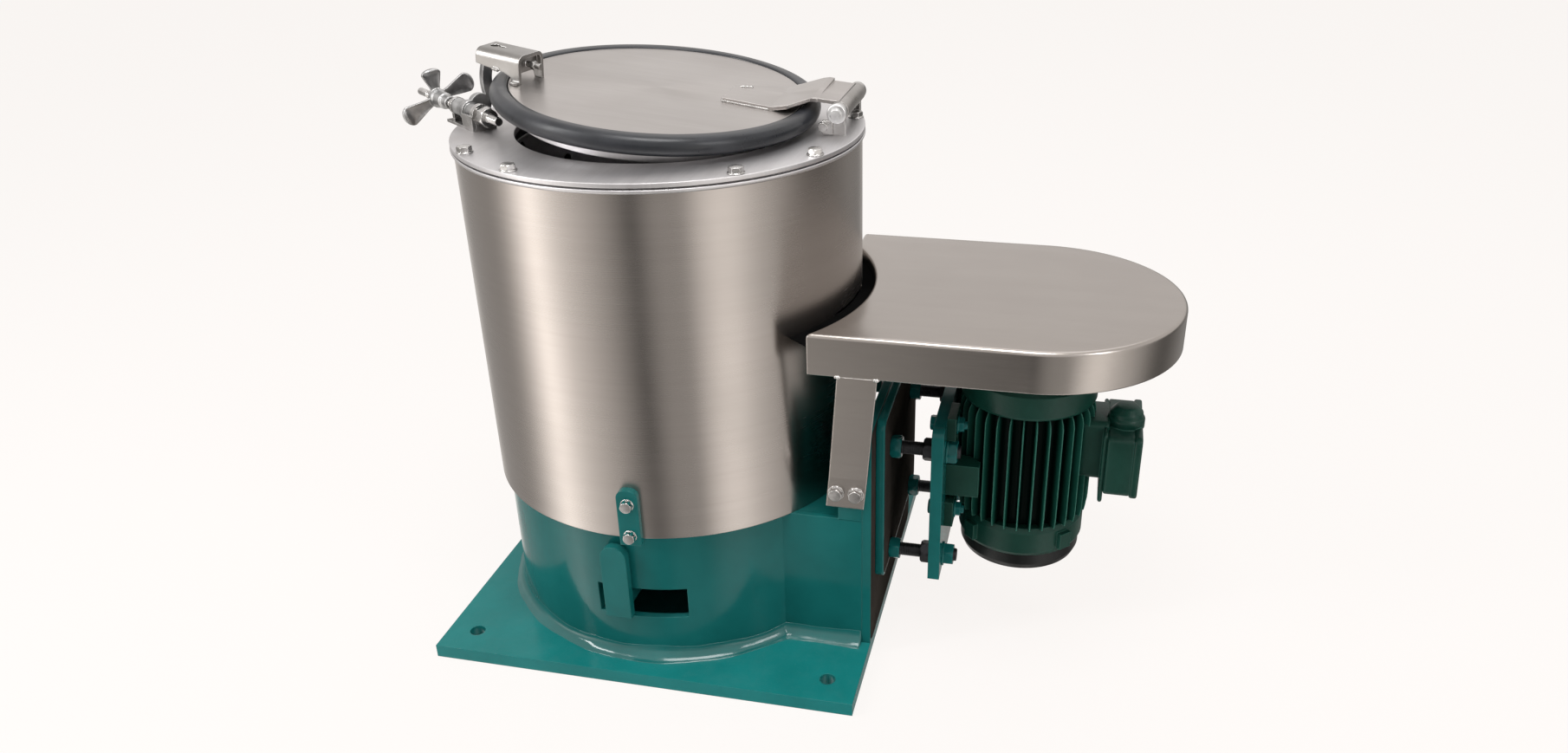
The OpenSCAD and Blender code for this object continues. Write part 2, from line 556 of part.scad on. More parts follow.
// The leg: a strip in the skirt's plane that leans in to the side box and
// back along X, cut as the meeting of its side view and its front view.
leg_z = drum_z + 17;                            // foot of the guard's leg
module guard_leg() color("silver") for (s = [0, 1]) mirror([0, s, 0]) intersection() {
  rotate([90, 0, 90]) linear_extrude(end_x + 60) polygon([
    [-guard_r, guard_z - guard_h], [-box_w / 2 - 3, leg_z + 38], [-box_w / 2 - 3, leg_z],
    [-box_w / 2, leg_z], [-box_w / 2, leg_z + 38], [-guard_r + 3, guard_z - guard_h]]);
  rotate([90, 0, 0]) linear_extrude(guard_r + 10) polygon([
    [end_x - leg_w + 2, leg_z], [end_x + 2, leg_z], [end_x + 19, guard_z - guard_h], [end_x + 19 - leg_w, guard_z - guard_h]]);
}
module guard_bolts() color("silver") for (s = [-1, 1], x = [0.28, 0.8]) mirror([0, s < 0 ? 0 : 1, 0])
  translate([end_x + 2 - leg_w + x * leg_w, -box_w / 2 - 3, leg_z + 19]) rotate([90, 0, 0]) hexnut(16, 8);

base_plate();
base_housing();
base_top();
side_box();
end_plate();
motor_plate();
plate_studs();
stud_nuts();
lock_nuts();
motor_body();
motor_feet();
foot_bolts();
motor_lower_shield();
motor_upper_shield();
fan_cowl();
terminal_box();
motor_shaft();
motor_pulley();
drive_belt();
spindle_pulley();
spindle();
spindle_housing();
basket();
drum_floor();
drum_shell();
top_flange();
flange_bolts();
clip_tab();
hinge_block();
hinge_pin();
lid_plate();
lid_rim();
lid_spigot();
hinge_strap();
hinge_barrel();
lid_catch();
latch_bracket();
latch_screw();
latch_arm();
wing_nut();
brake_lever();
brake_post();
belt_guard();
guard_leg();
guard_bolts();
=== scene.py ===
import math
import bmesh
import bpy
import numpy as np
from mathutils import Matrix, Vector


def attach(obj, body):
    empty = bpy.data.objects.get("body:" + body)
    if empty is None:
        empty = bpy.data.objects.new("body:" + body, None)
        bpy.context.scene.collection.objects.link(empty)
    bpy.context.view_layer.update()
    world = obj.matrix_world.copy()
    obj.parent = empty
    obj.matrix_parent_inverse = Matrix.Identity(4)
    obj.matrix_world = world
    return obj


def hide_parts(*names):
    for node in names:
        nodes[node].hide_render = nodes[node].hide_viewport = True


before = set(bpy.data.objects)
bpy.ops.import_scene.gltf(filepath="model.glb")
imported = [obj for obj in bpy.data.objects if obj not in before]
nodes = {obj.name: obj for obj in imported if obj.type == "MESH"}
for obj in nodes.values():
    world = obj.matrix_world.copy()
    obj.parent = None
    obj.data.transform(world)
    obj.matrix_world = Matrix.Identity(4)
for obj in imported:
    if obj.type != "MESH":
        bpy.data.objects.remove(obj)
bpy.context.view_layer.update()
scene = bpy.context.scene
mm = 0.001
print("frame loaded:", len(nodes), "nodes")

# camera

cameraSet = {
    "place": (0.468518, -1.225038, 0.913236),
    "yaw": -12.5031,        # degrees, 0 looks along +Y
    "pitch": 26.6799,       # degrees below the horizon
    "roll": -0.5867,
    "lens": 26.80,
    "sensor": 36,
    "shift": (-0.0331, 0.0052),
    "clip": (0.05, 60),
}


def makeCamera(values):
    # forward from yaw and pitch, right level with the ground, both turned by the roll
    yaw, pitch, roll = (math.radians(values[key]) for key in ("yaw", "pitch", "roll"))
    forward = Vector((math.sin(yaw) * math.cos(pitch), math.cos(yaw) * math.cos(pitch), -math.sin(pitch)))
    right = Vector((math.cos(yaw), -math.sin(yaw), 0))
    up = right.cross(forward)
    rightTurned = math.cos(roll) * right + math.sin(roll) * up
    upTurned = math.cos(roll) * up - math.sin(roll) * right
    data = bpy.data.cameras.new("photoCamera")
    data.lens, data.sensor_width = values["lens"], values["sensor"]
    data.shift_x, data.shift_y = values["shift"]
    data.clip_start, data.clip_end = values["clip"]
    camera = bpy.data.objects.new("photoCamera", data)
    scene.collection.objects.link(camera)
    turn = Matrix((rightTurned, upTurned, -forward)).transposed().to_4x4()
    camera.matrix_world = Matrix.Translation(values["place"]) @ turn
    scene.camera = camera


makeCamera(cameraSet)
print("camera placed")

# node helpers


def feed(socket, value):
    # a socket takes a link from another socket, or a plain value
    if isinstance(value, bpy.types.NodeSocket):
        socket.id_data.links.new(value, socket)
    elif value is not None:
        socket.default_value = value


def fill(node, inputs):
    for key, value in inputs.items():
        feed(node.inputs[key], value)


def addNode(tree, kind, inputs=None, **settings):
    node = tree.nodes.new("ShaderNode" + kind)
    for key, value in settings.items():
        setattr(node, key, value)
    fill(node, inputs or {})
    return node


# these take the tree from the socket they are given first


def calc(operation, first, second=None, clamp=False):
    inputs = {0: first, 1: second}
    return addNode(first.id_data, "Math", inputs, operation=operation, use_clamp=clamp).outputs[0]


def plus(first, second):
    return calc("ADD", first, second)


def times(first, second, clamp=False):
    return calc("MULTIPLY", first, second, clamp)


def remap(value, low, high, newLow=0.0, newHigh=1.0):
    spans = {"Value": value, "From Min": low, "From Max": high, "To Min": newLow, "To Max": newHigh}
    return addNode(value.id_data, "MapRange", spans, interpolation_type="SMOOTHSTEP").outputs[0]


def blend(share, first, second):
    return addNode(share.id_data, "Mix", {0: share, 6: first, 7: second}, data_type="RGBA").outputs[2]


def noise(place, scale, detail, rough):
    inputs = {"Vector": place, "Scale": scale, "Detail": detail, "Roughness": rough}
    return addNode(place.id_data, "TexNoise", inputs).outputs[0]


def stretch(place, factors):
    return addNode(place.id_data, "VectorMath", {0: place, 1: factors}, operation="MULTIPLY").outputs[0]


def split(vector):
    return addNode(vector.id_data, "SeparateXYZ", {"Vector": vector}).outputs


def objectPlace(tree):
    return addNode(tree, "TexCoord").outputs["Object"]


def startGroup(name, inputs, outputs):
    # inputs: name -> (socket kind, default), outputs: name -> socket kind
    tree = bpy.data.node_groups.new(name, "ShaderNodeTree")
    for key, (kind, value) in inputs.items():
        socket = tree.interface.new_socket(key, in_out="INPUT", socket_type="NodeSocket" + kind)
        socket.default_value = value
    for key, kind in outputs.items():
        tree.interface.new_socket(key, in_out="OUTPUT", socket_type="NodeSocket" + kind)
    return tree, tree.nodes.new("NodeGroupInput").outputs, tree.nodes.new("NodeGroupOutput").inputs


def useGroup(tree, group, **inputs):
    node = tree.nodes.new("ShaderNodeGroup")
    node.node_tree = group
    fill(node, inputs)
    return node.outputs


# shared effects; a noise is (scale, detail, roughness), or the last two where the scale is a socket

edgeSet = {"samples": 6, "flat": 0.995, "sharp": 0.8}       # cosines between the true and the rounded normal
grainSet = {"lines": (5.0, 0.7), "streaks": (3.0, 0.6), "streakScale": 0.13, "clouds": (7.0, 3.0, 0.55)}
dustSet = {
    "patch": (5.0, 0.65), "patchSpan": (0.42, 0.75), "patchShare": 0.6, "speck": (900.0, 2.0, 0.5),
    "speckSpan": (0.62, 0.72), "upSpan": (0.2, 0.95),
}
skinSet = {
    "peel": (2.0, 0.5), "peelShare": 0.25, "lumps": (3.0, 0.5), "runs": (14.0, 2.0, 0.5), "runDraw": (3, 3, 1),
    "runShare": 0.6, "tone": (9.0, 4.0, 0.6),
}


def makeSoftEdge(values):
    # rounded normal at sharp edges, and a mask that is 1 on the edge itself
    tree, given, result = startGroup("softEdge", {"Radius": ("Float", 0.001)}, {"Normal": "Vector", "Edge": "Float"})
    bevel = addNode(tree, "Bevel", {"Radius": given["Radius"]}, samples=values["samples"])
    true = addNode(tree, "NewGeometry").outputs["Normal"]
    dot = addNode(tree, "VectorMath", {0: bevel.outputs[0], 1: true}, operation="DOT_PRODUCT")
    feed(result["Normal"], bevel.outputs[0])
    feed(result["Edge"], remap(dot.outputs["Value"], values["flat"], values["sharp"]))
    return tree


def makeBrushGrain(values):
    # noise drawn out along the brushing: fine lines, wider streaks and soft clouds
    tree, given, result = startGroup(
        "brushGrain",
        {"Stretch": ("Vector", (1, 1, 60)), "Fineness": ("Float", 12.0)},
        {"Lines": "Float", "Streaks": "Float", "Clouds": "Float"})
    place = objectPlace(tree)
    drawn = stretch(place, given["Stretch"])
    wide = times(given["Fineness"], values["streakScale"])
    feed(result["Lines"], noise(drawn, given["Fineness"], *values["lines"]))
    feed(result["Streaks"], noise(drawn, wide, *values["streaks"]))
    feed(result["Clouds"], noise(place, *values["clouds"]))
    return tree


def makeDust(values):
    # settles on faces that look up, in patches
    tree, given, result = startGroup("dust", {"Amount": ("Float", 0.5), "Patch": ("Float", 30.0)}, {"Mask": "Float"})
    up = split(addNode(tree, "NewGeometry").outputs["Normal"])[2]
    place = objectPlace(tree)
    patch = remap(noise(place, given["Patch"], *values["patch"]), *values["patchSpan"])
    speck = remap(noise(place, *values["speck"]), *values["speckSpan"])
    both = calc("MAXIMUM", times(patch, values["patchShare"]), speck)
    lift = remap(up, *values["upSpan"])
    feed(result["Mask"], times(times(both, lift), given["Amount"], clamp=True))
    return tree


def makePaintSkin(values):
    # orange peel, slow runs of thicker paint and a mottled tone
    tree, given, result = startGroup(
        "paintSkin", {"Peel": ("Float", 160.0), "Lumps": ("Float", 22.0)}, {"Height": "Float", "Tone": "Float"})
    place = objectPlace(tree)
    peel = noise(place, given["Peel"], *values["peel"])
    lumps = noise(place, given["Lumps"], *values["lumps"])
    runs = noise(stretch(place, values["runDraw"]), *values["runs"])
    height = plus(times(peel, values["peelShare"]), lumps)
    feed(result["Height"], plus(height, times(runs, values["runShare"])))
    feed(result["Tone"], noise(place, *values["tone"]))
    return tree


softEdge = makeSoftEdge(edgeSet)
brushGrain = makeBrushGrain(grainSet)
dust = makeDust(dustSet)
paintSkin = makePaintSkin(skinSet)

# finishes

middle = (0.3, 0.7)         # where most of a noise's values lie


def startMaterial(name):
    material = bpy.data.materials.new(name)
    material.use_nodes = True
    tree = material.node_tree
    return material, tree, tree.nodes["Principled BSDF"]


def addBump(tree, shader, strength, distance, height, normal=None):
    inputs = {"Strength": strength, "Distance": distance, "Height": height, "Normal": normal}
    feed(shader.inputs["Normal"], addNode(tree, "Bump", inputs).outputs[0])


def brushedSteel(name, values):
    # brushed stainless: tone and roughness follow the lines, the tangent draws the highlights across them
    material, tree, shader = startMaterial(name)
    grain = useGroup(tree, brushGrain, Stretch=values["stretch"], Fineness=values["fineness"])
    edge = useGroup(tree, softEdge, Radius=values["edge"])
    tone = plus(times(grain["Lines"], 0.5), times(grain["Streaks"], 0.5))
    color = blend(remap(tone, *middle), values["dark"], values["light"])
    cloud = remap(grain["Clouds"], 0.4, 0.75, 0.0, values["cloud"])
    color = blend(cloud, color, values["cloudColor"])
    color = blend(times(edge["Edge"], 0.5), color, values["rim"])
    rough = remap(grain["Lines"], 0.25, 0.75, values["rough"] - 0.01, values["rough"] + 0.015)
    rough = plus(rough, remap(grain["Clouds"], 0.35, 0.7, 0.0, 0.05))
    fill(shader, {"Base Color": color, "Roughness": rough, "Metallic": 1.0})
    if values["draw"]:
        tangent = addNode(tree, "Tangent", direction_type="RADIAL", axis="Z").outputs[0]
        fill(shader, {"Anisotropic": values["draw"], "Anisotropic Rotation": values["turn"], "Tangent": tangent})
    addBump(tree, shader, values["bump"], 0.0002, grain["Lines"], edge["Normal"])
    return material


def castSteel(name, values):
    # pressed or turned hardware: clouded tone and roughness, worn bright edges
    material, tree, shader = startMaterial(name)
    edge = useGroup(tree, softEdge, Radius=values["edge"])
    place = objectPlace(tree)
    cloud = noise(place, values["cloudScale"], 4.0, 0.6)
    color = blend(remap(cloud, 0.35, 0.68), values["dark"], values["light"])
    color = blend(times(edge["Edge"], 0.75), color, values["rim"])
    rough = remap(cloud, *middle, values["rough"] - 0.06, values["rough"] + 0.08)
    fill(shader, {"Base Color": color, "Roughness": rough, "Metallic": values["metal"]})
    addBump(tree, shader, values["bump"], 0.0003, noise(place, 700.0, 3.0, 0.6), edge["Normal"])
    return material


def paint(name, values):
    # thick enamel: orange peel, thinner and paler on edges, where on the motor the paler edges are a painted highlight,
    # dust on what looks up
    material, tree, shader = startMaterial(name)
    edge = useGroup(tree, softEdge, Radius=values["edge"])
    skin = useGroup(tree, paintSkin, Peel=values["peel"], Lumps=values["lumps"])
    settled = useGroup(tree, dust, Amount=values["dust"], Patch=values["patch"])
    color = blend(remap(skin["Tone"], *middle), values["deep"], values["pale"])
    # paler edges: thin paint on the enamel, a painted highlight on the motor and its fins
    color = blend(times(edge["Edge"], values["edgeWearAndHighlight"]), color, values["thin"])
    color = blend(settled["Mask"], color, values["dustColor"])
    if "rootShade" in values:
        # painted shade down between the fins: darker by the distance from the motor's axis
        axisX, root, tip = values["rootShade"]
        way = split(objectPlace(tree))
        square = calc("POWER", calc("SUBTRACT", way[0], axisX), 2.0)
        out = calc("SQRT", plus(square, calc("POWER", way[1], 2.0)))
        color = blend(remap(out, root, tip), values["rootShadeColor"], color)
    rough = remap(skin["Tone"], *middle, values["rough"] - 0.04, values["rough"] + 0.05)
    rough = plus(rough, times(settled["Mask"], 0.4))
    fill(shader, {"Base Color": color, "Roughness": rough, "Specular IOR Level": values["gloss"]})
    addBump(tree, shader, values["bump"], 0.0012, skin["Height"], edge["Normal"])
    return material


def rubber(name, values):
    # matt rubber with a faint bloom along what looks up
    material, tree, shader = startMaterial(name)
    place = objectPlace(tree)
    settled = useGroup(tree, dust, Amount=values["dust"], Patch=values["patch"])
    cloud = noise(place, 24.0, 4.0, 0.6)
    color = blend(remap(cloud, *middle), values["dark"], values["light"])
    color = blend(settled["Mask"], color, values["dustColor"])
    rough = remap(cloud, *middle, values["rough"] - 0.05, values["rough"] + 0.06)
    fill(shader, {"Base Color": color, "Roughness": rough, "Specular IOR Level": values["gloss"]})
    addBump(tree, shader, 0.15, 0.0003, noise(place, 420.0, 3.0, 0.6))
    return material


def rgb(red, green, blue):
    return red, green, blue, 1


steelLook = {
    "stretch": (1, 1, 90), "fineness": 14.0, "edge": 0.0012, "rough": 0.25, "bump": 0.006,
    "dark": rgb(0.405, 0.370, 0.345), "light": rgb(0.425, 0.390, 0.365), "rim": rgb(0.75, 0.73, 0.71),
    "cloud": 0.35, "cloudColor": rgb(0.36, 0.33, 0.31), "draw": 0.75, "turn": 0.25,
}
flangeLook = dict(steelLook, stretch=(40, 2, 2), fineness=9.0, draw=0.0, rough=0.42,
                  dark=rgb(0.60, 0.59, 0.60), light=rgb(0.68, 0.67, 0.68))
lidLook = dict(steelLook, stretch=(2, 36, 2), fineness=9.0, draw=0.6, turn=0.0, rough=0.30,
               dark=rgb(0.43, 0.405, 0.39), light=rgb(0.48, 0.455, 0.44))
guardLook = dict(steelLook, stretch=(2, 24, 24), fineness=12.0, draw=0.0, rough=0.21, edge=0.002,
                 dark=rgb(0.38, 0.35, 0.325), light=rgb(0.40, 0.37, 0.345))
boltLook = {
    "edge": 0.0008, "cloudScale": 60.0, "rough": 0.20, "metal": 1.0, "bump": 0.15,
    "dark": rgb(0.42, 0.41, 0.40), "light": rgb(0.62, 0.61, 0.60), "rim": rgb(0.85, 0.85, 0.84),
}
wingLook = dict(boltLook, cloudScale=38.0, rough=0.34, edge=0.0015,
                dark=rgb(0.30, 0.30, 0.30), light=rgb(0.50, 0.50, 0.50))
blackSteelLook = dict(boltLook, rough=0.42, metal=0.7,
                      dark=rgb(0.018, 0.018, 0.02), light=rgb(0.045, 0.045, 0.05), rim=rgb(0.12, 0.12, 0.12))
castGreyLook = dict(boltLook, rough=0.55, bump=0.5, dark=rgb(0.16, 0.16, 0.16), light=rgb(0.26, 0.26, 0.26))
catchLook = dict(boltLook, rough=0.34, cloudScale=22.0, bump=0.06, edge=0.0012,
                 dark=rgb(0.27, 0.26, 0.25), light=rgb(0.37, 0.36, 0.35))
hingeLook = dict(catchLook, rough=0.32, dark=rgb(0.30, 0.285, 0.27), light=rgb(0.40, 0.385, 0.37))
headLook = dict(boltLook, rough=0.36, dark=rgb(0.66, 0.66, 0.66), light=rgb(0.86, 0.86, 0.86))
enamelLook = {
    "edge": 0.0018, "peel": 170.0, "lumps": 24.0, "dust": 0.06, "patch": 26.0, "edgeWearAndHighlight": 0.35, "rough": 0.13,
    "gloss": 0.20, "bump": 0.16, "deep": rgb(0.0070, 0.125, 0.118), "pale": rgb(0.0100, 0.155, 0.148),
    "thin": rgb(0.045, 0.27, 0.25), "dustColor": rgb(0.32, 0.38, 0.36),
}
# a lighter copy of the enamel for the base plate, whose top faces the overhead light: painted light
litPlateLook = dict(enamelLook, deep=rgb(0.008, 0.190, 0.183), pale=rgb(0.012, 0.230, 0.222))
footLook = dict(enamelLook, gloss=0.60, rough=0.11, edgeWearAndHighlight=0.0)
# a darker copy of the enamel for the parts inside the housing: painted shade
shadedInnerLook = dict(enamelLook, deep=rgb(0.004, 0.05, 0.047), pale=rgb(0.006, 0.07, 0.065), rough=0.4)
# a dark brown copy of the enamel, laid as thin sheets over the plates' outer faces: painted shade and reflection
shadeWallLook = dict(enamelLook, deep=rgb(0.034, 0.029, 0.025), pale=rgb(0.060, 0.051, 0.043),
                thin=rgb(0.12, 0.1, 0.09), gloss=0.0, rough=0.8)
# the motor's paler edges are a painted highlight
motorLook = dict(enamelLook, deep=rgb(0.005, 0.042, 0.029), pale=rgb(0.009, 0.064, 0.045),
                 thin=rgb(0.05, 0.20, 0.15), rough=0.34, peel=260.0, bump=0.35, dust=0.12, gloss=0.22, edgeWearAndHighlight=0.6)
# a lighter copy of the motor paint for the fins, with paler edges and darker roots: painted light on the fins and their
# edges, painted shade down between them
finLitAndShadedLook = dict(motorLook, deep=rgb(0.009, 0.072, 0.050), pale=rgb(0.014, 0.100, 0.072),
               thin=rgb(0.15, 0.42, 0.33), edge=0.0017, gloss=0.05, edgeWearAndHighlight=0.9,
               rootShade=(0.426, 0.066, 0.0775),         # the axis' x, where it is dark and where it isn't, m
               rootShadeColor=rgb(0.0015, 0.008, 0.006))
blackLook = dict(motorLook, deep=rgb(0.006, 0.007, 0.007), pale=rgb(0.014, 0.015, 0.015), thin=rgb(0.04, 0.04, 0.04))
rimLook = {
    "dark": rgb(0.016, 0.018, 0.022), "light": rgb(0.028, 0.030, 0.036), "dustColor": rgb(0.3, 0.3, 0.3),
    "rough": 0.32, "gloss": 0.45, "dust": 0.04, "patch": 20.0,
}
beltLook = dict(rimLook, dark=rgb(0.012, 0.012, 0.012), light=rgb(0.022, 0.022, 0.022), rough=0.7)
# black, for the strip in the guard's gap: painted shade
shadeLook = dict(beltLook, dark=rgb(0.004, 0.004, 0.004), light=rgb(0.007, 0.007, 0.007), dust=0.0, gloss=0.0)

looksOf = (
    (brushedSteel, {"shellSteel": steelLook, "flangeSteel": flangeLook, "lidSteel": lidLook, "guardSteel": guardLook}),
    (castSteel, {"boltSteel": boltLook, "wingSteel": wingLook, "catchSteel": catchLook, "hingeSteel": hingeLook,
                 "headSteel": headLook, "blackSteel": blackSteelLook, "castGrey": castGreyLook}),
    (paint, {"enamel": enamelLook, "litPlateEnamel": litPlateLook, "footEnamel": footLook, "shadedInnerEnamel": shadedInnerLook,
             "paintedShadeWall": shadeWallLook, "motorPaint": motorLook, "finPaintLitAndShaded": finLitAndShadedLook, "blackPaint": blackLook}),
    (rubber, {"rimRubber": rimLook, "beltRubber": beltLook, "paintedShadeStrip": shadeLook}),
)
finishes = {name: maker(name, look) for maker, looks in looksOf for name, look in looks.items()}

nodesOf = {
    "litPlateEnamel": "base_plate",
    "enamel": "base_housing side_box end_plate motor_plate stud_nuts foot_bolts clip_tab brake_lever",
    "shadedInnerEnamel": "base_top spindle_housing brake_post",
    "motorPaint": "motor_body motor_feet motor_lower_shield motor_upper_shield terminal_box",
    "blackPaint": "fan_cowl",
    "blackSteel": "plate_studs lock_nuts",
    "boltSteel": "motor_shaft spindle flange_bolts hinge_block hinge_pin hinge_barrel latch_bracket latch_screw "
                 "guard_bolts",
    "castGrey": "motor_pulley spindle_pulley",
    "flangeSteel": "basket drum_floor top_flange lid_spigot",
    "shellSteel": "drum_shell",
    "lidSteel": "lid_plate hinge_strap",
    "wingSteel": "lid_catch latch_arm wing_nut",
    "guardSteel": "belt_guard guard_leg",
    "rimRubber": "lid_rim",
    "beltRubber": "drive_belt",
}
for finish, nodeNames in nodesOf.items():
    for nodeName in nodeNames.split():
        for slot in nodes[nodeName].material_slots:
            slot.material = finishes[finish]
print("finishes made:", len(finishes))

# surfaces: a sheet is (grid of points m x n x 3 in mm, closed along its rows, cells left open); columns always close

facingX = np.array([[0, 1.0, 0], [0, 0, 1.0], [1.0, 0, 0]])
facingBack = np.array([[1.0, 0, 0], [0, 0, 1.0], [0, -1.0, 0]])
hexSet = {
    "level": (0, 0, 0.06, 0.16, 0.5, 0.84, 0.94, 1.0, 1.0), "cone": (-1.4, 0.0, 0.5, 9, 9, 9, 0.5, 0.0, -1.4),
    "coneAcross": 22, "around": 72,
}
beadSet = {"ripple": 0.12, "pitch": 4.0, "least": 0.0004, "around": 12}
mergeGap, flatGap = 2e-6, 1e-7         # m: points this near become one, edges this short are taken out


def quadsOf(index):
    return np.stack([index[:-1, :-1], index[1:, :-1], index[1:, 1:], index[:-1, 1:]], -1)


def makePiece(name, sheets, finish, replaced=(), crease=38, body="frame"):
    # each grid becomes quads, and all sheets of a piece one mesh
    points, quads, start = [], [], 0
    for grid, wrapRows, *gaps in sheets:
        rows, columns = grid.shape[:2]
        index = np.arange(rows * columns).reshape(rows, columns) + start
        if wrapRows:
            index = np.vstack([index, index[:1]])
        index = np.hstack([index, index[:, :1]])
        kept = np.ones((len(index) - 1, columns), bool)
        for row, firstColumn, lastColumn in gaps:
            kept[row, firstColumn:lastColumn] = False
        quads.append(quadsOf(index)[kept])
        points.append(grid.reshape(-1, 3))
        start += rows * columns
    mesh = bpy.data.meshes.new(name)
    mesh.from_pydata(np.concatenate(points) * mm, [], np.concatenate(quads).tolist())
    work = bmesh.new()
    work.from_mesh(mesh)
    bmesh.ops.remove_doubles(work, verts=work.verts, dist=mergeGap)
    bmesh.ops.dissolve_degenerate(work, edges=work.edges, dist=flatGap)
    bmesh.ops.recalc_face_normals(work, faces=work.faces)
    work.to_mesh(mesh)
    work.free()
    mesh.shade_smooth()
    mesh.set_sharp_from_angle(angle=math.radians(crease))
    mesh.materials.append(finishes[finish])
    piece = bpy.data.objects.new(name, mesh)
    scene.collection.objects.link(piece)
    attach(piece, body)
    if replaced:
        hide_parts(*replaced)


def circle(count):
    return np.linspace(0, 2 * np.pi, count, endpoint=False)


def polar(radius, angle, z):
    # points on rings: (r cos a, r sin a, z)
    return np.stack(np.broadcast_arrays(radius * np.cos(angle), radius * np.sin(angle), z), -1)


def capped(grid, low, high):
    # one point closes each end of a tube
    low, high = (np.broadcast_to(np.asarray(point, float), (1,) + grid.shape[1:]) for point in (low, high))
    return np.concatenate([low, grid, high])


def placed(grid, centre=(0, 0, 0), frameOf=None):
    # frameOf: three rows, the directions of the grid's own x, y and z
    if frameOf is not None:
        grid = grid @ np.asarray(frameOf, float)
    return grid + np.asarray(centre, float)


def moved(sheets, move):
    return [(move(grid), *rest) for grid, *rest in sheets]


def turned(profile, count, centre=(0, 0, 0), frameOf=None):
    # a profile of (radius, height) points turned about Z; a closed profile is a closed solid
    profile = np.asarray(profile, float)
    return placed(polar(profile[:, :1], circle(count), profile[:, 1:]), centre, frameOf), False


def rounded(points, radius):
    # each inner corner of an open profile becomes a quadratic arc that starts and ends `radius` from it
    points = np.asarray(points, float)
    share = np.linspace(0, 1, 5)[:, None]
    out = [points[:1]]
    for before, corner, after in zip(points[:-2], points[1:-1], points[2:]):
        inward, outward = before - corner, after - corner
        reach = min(radius, np.linalg.norm(inward) / 2.01, np.linalg.norm(outward) / 2.01)
        a = corner + inward / np.linalg.norm(inward) * reach
        b = corner + outward / np.linalg.norm(outward) * reach
        out.append((1 - share) ** 2 * a + 2 * share * (1 - share) * corner + share ** 2 * b)
    out.append(points[-1:])
    return np.concatenate(out)


def lathe(profile, radius, count, centre=(0, 0, 0), frameOf=None):
    return turned(rounded(profile, radius), count, centre, frameOf)


def axisFrame(direction, spin=0.0):
    # rows x, y, z with z along direction; spin turns x and y about it, degrees
    z = np.asarray(direction, float) / np.linalg.norm(direction)
    helper = np.array([0.0, 0, 1]) if abs(z[2]) < 0.9 else np.array([1.0, 0, 0])
    x = np.cross(helper, z)
    x /= np.linalg.norm(x)
    y = np.cross(z, x)
    turn = math.radians(spin)
    return np.array([math.cos(turn) * x + math.sin(turn) * y, math.cos(turn) * y - math.sin(turn) * x, z])


def hexSheet(across, height, centre, direction, spin, bore=0.0, dome=0.0):
    # a hexagon, across measured over its corners: r(a) = flat / cos(a mod 60 - 30), inside a chamfer cone at both ends
    angle = circle(hexSet["around"])
    flat = across / 2 * math.cos(math.pi / 6)
    cone = flat + np.array(hexSet["cone"]) * across / hexSet["coneAcross"]
    radius = np.minimum(flat / np.cos(angle % (np.pi / 3) - np.pi / 6), cone[:, None])
    radius = np.pad(radius, ((1, 1), (0, 0)), constant_values=bore)
    level = np.concatenate([[0], np.array(hexSet["level"]) * height, [height + dome]])
    return placed(polar(radius, angle, level[:, None]), centre, axisFrame(direction, spin)), bore > 0


def washerSheet(outer, inner, height, centre, direction):
    # a flat ring with softened rims, turned about its own axis
    soft = 0.4
    profile = [(inner, 0), (outer - soft, 0), (outer, soft), (outer, height - soft), (outer - soft, height),
               (inner, height), (inner, 0)]
    return turned(profile, 48, centre, axisFrame(direction))


def threadSheet(radius, depth, pitch, length, centre, direction, count=28):
    # a screw thread: r = radius - depth * triangle(z / pitch - a / 360), tapered in at both ends
    angle = circle(count)
    z = np.arange(0, length, pitch / 4)[:, None]
    wave = np.abs(((z / pitch - angle / (2 * np.pi)) % 1) * 2 - 1)
    fade = np.clip(np.minimum(z, length - z) / pitch, 0, 1)
    grid = polar(radius - depth * wave - depth * (1 - fade), angle, z)
    return placed(capped(grid, (0, 0, 0), (0, 0, z[-1, 0])), centre, axisFrame(direction)), False


def lengthAlong(path):
    return np.concatenate([[0], np.cumsum(np.linalg.norm(np.diff(path, axis=0), axis=1))])


def carried(path, section, size):
    # a section of (side, up) points carried along a path, square to it, with Z kept upright, scaled by size
    ahead = np.gradient(path, axis=0)
    ahead /= np.linalg.norm(ahead, axis=1, keepdims=True)
    side = np.cross(ahead, [0, 0, 1])
    side /= np.linalg.norm(side, axis=1, keepdims=True)
    up = np.cross(side, ahead)
    spread = side[:, None] * section[None, :, :1] + up[:, None] * section[None, :, 1:]
    return path[:, None] + size[:, None, None] * spread, False


def beadSheet(start, end, count, radius):
    return beadAlong(np.linspace(start, end, count), radius)


def beadAlong(path, radius):
    # a weld bead: a round section along a path, rippled, closed at both ends
    along = lengthAlong(path)
    close = np.sqrt(np.clip(np.minimum(along, along[-1] - along) / radius, beadSet["least"], 1))
    size = (1 + beadSet["ripple"] * np.sin(2 * np.pi * along / beadSet["pitch"])) * close
    angle = circle(beadSet["around"])
    return carried(path, radius * np.stack([np.cos(angle), np.sin(angle)], -1), size)


def thickSheet(outer, inner):
    # two facing skins on one grid, closed along their four edges
    between = (outer + inner) / 2
    skin = np.concatenate([outer, inner[:, ::-1]], 1)
    edge = np.concatenate([between, between[:, ::-1]], 1)
    return np.concatenate([edge[:1], skin, edge[-1:]]), False


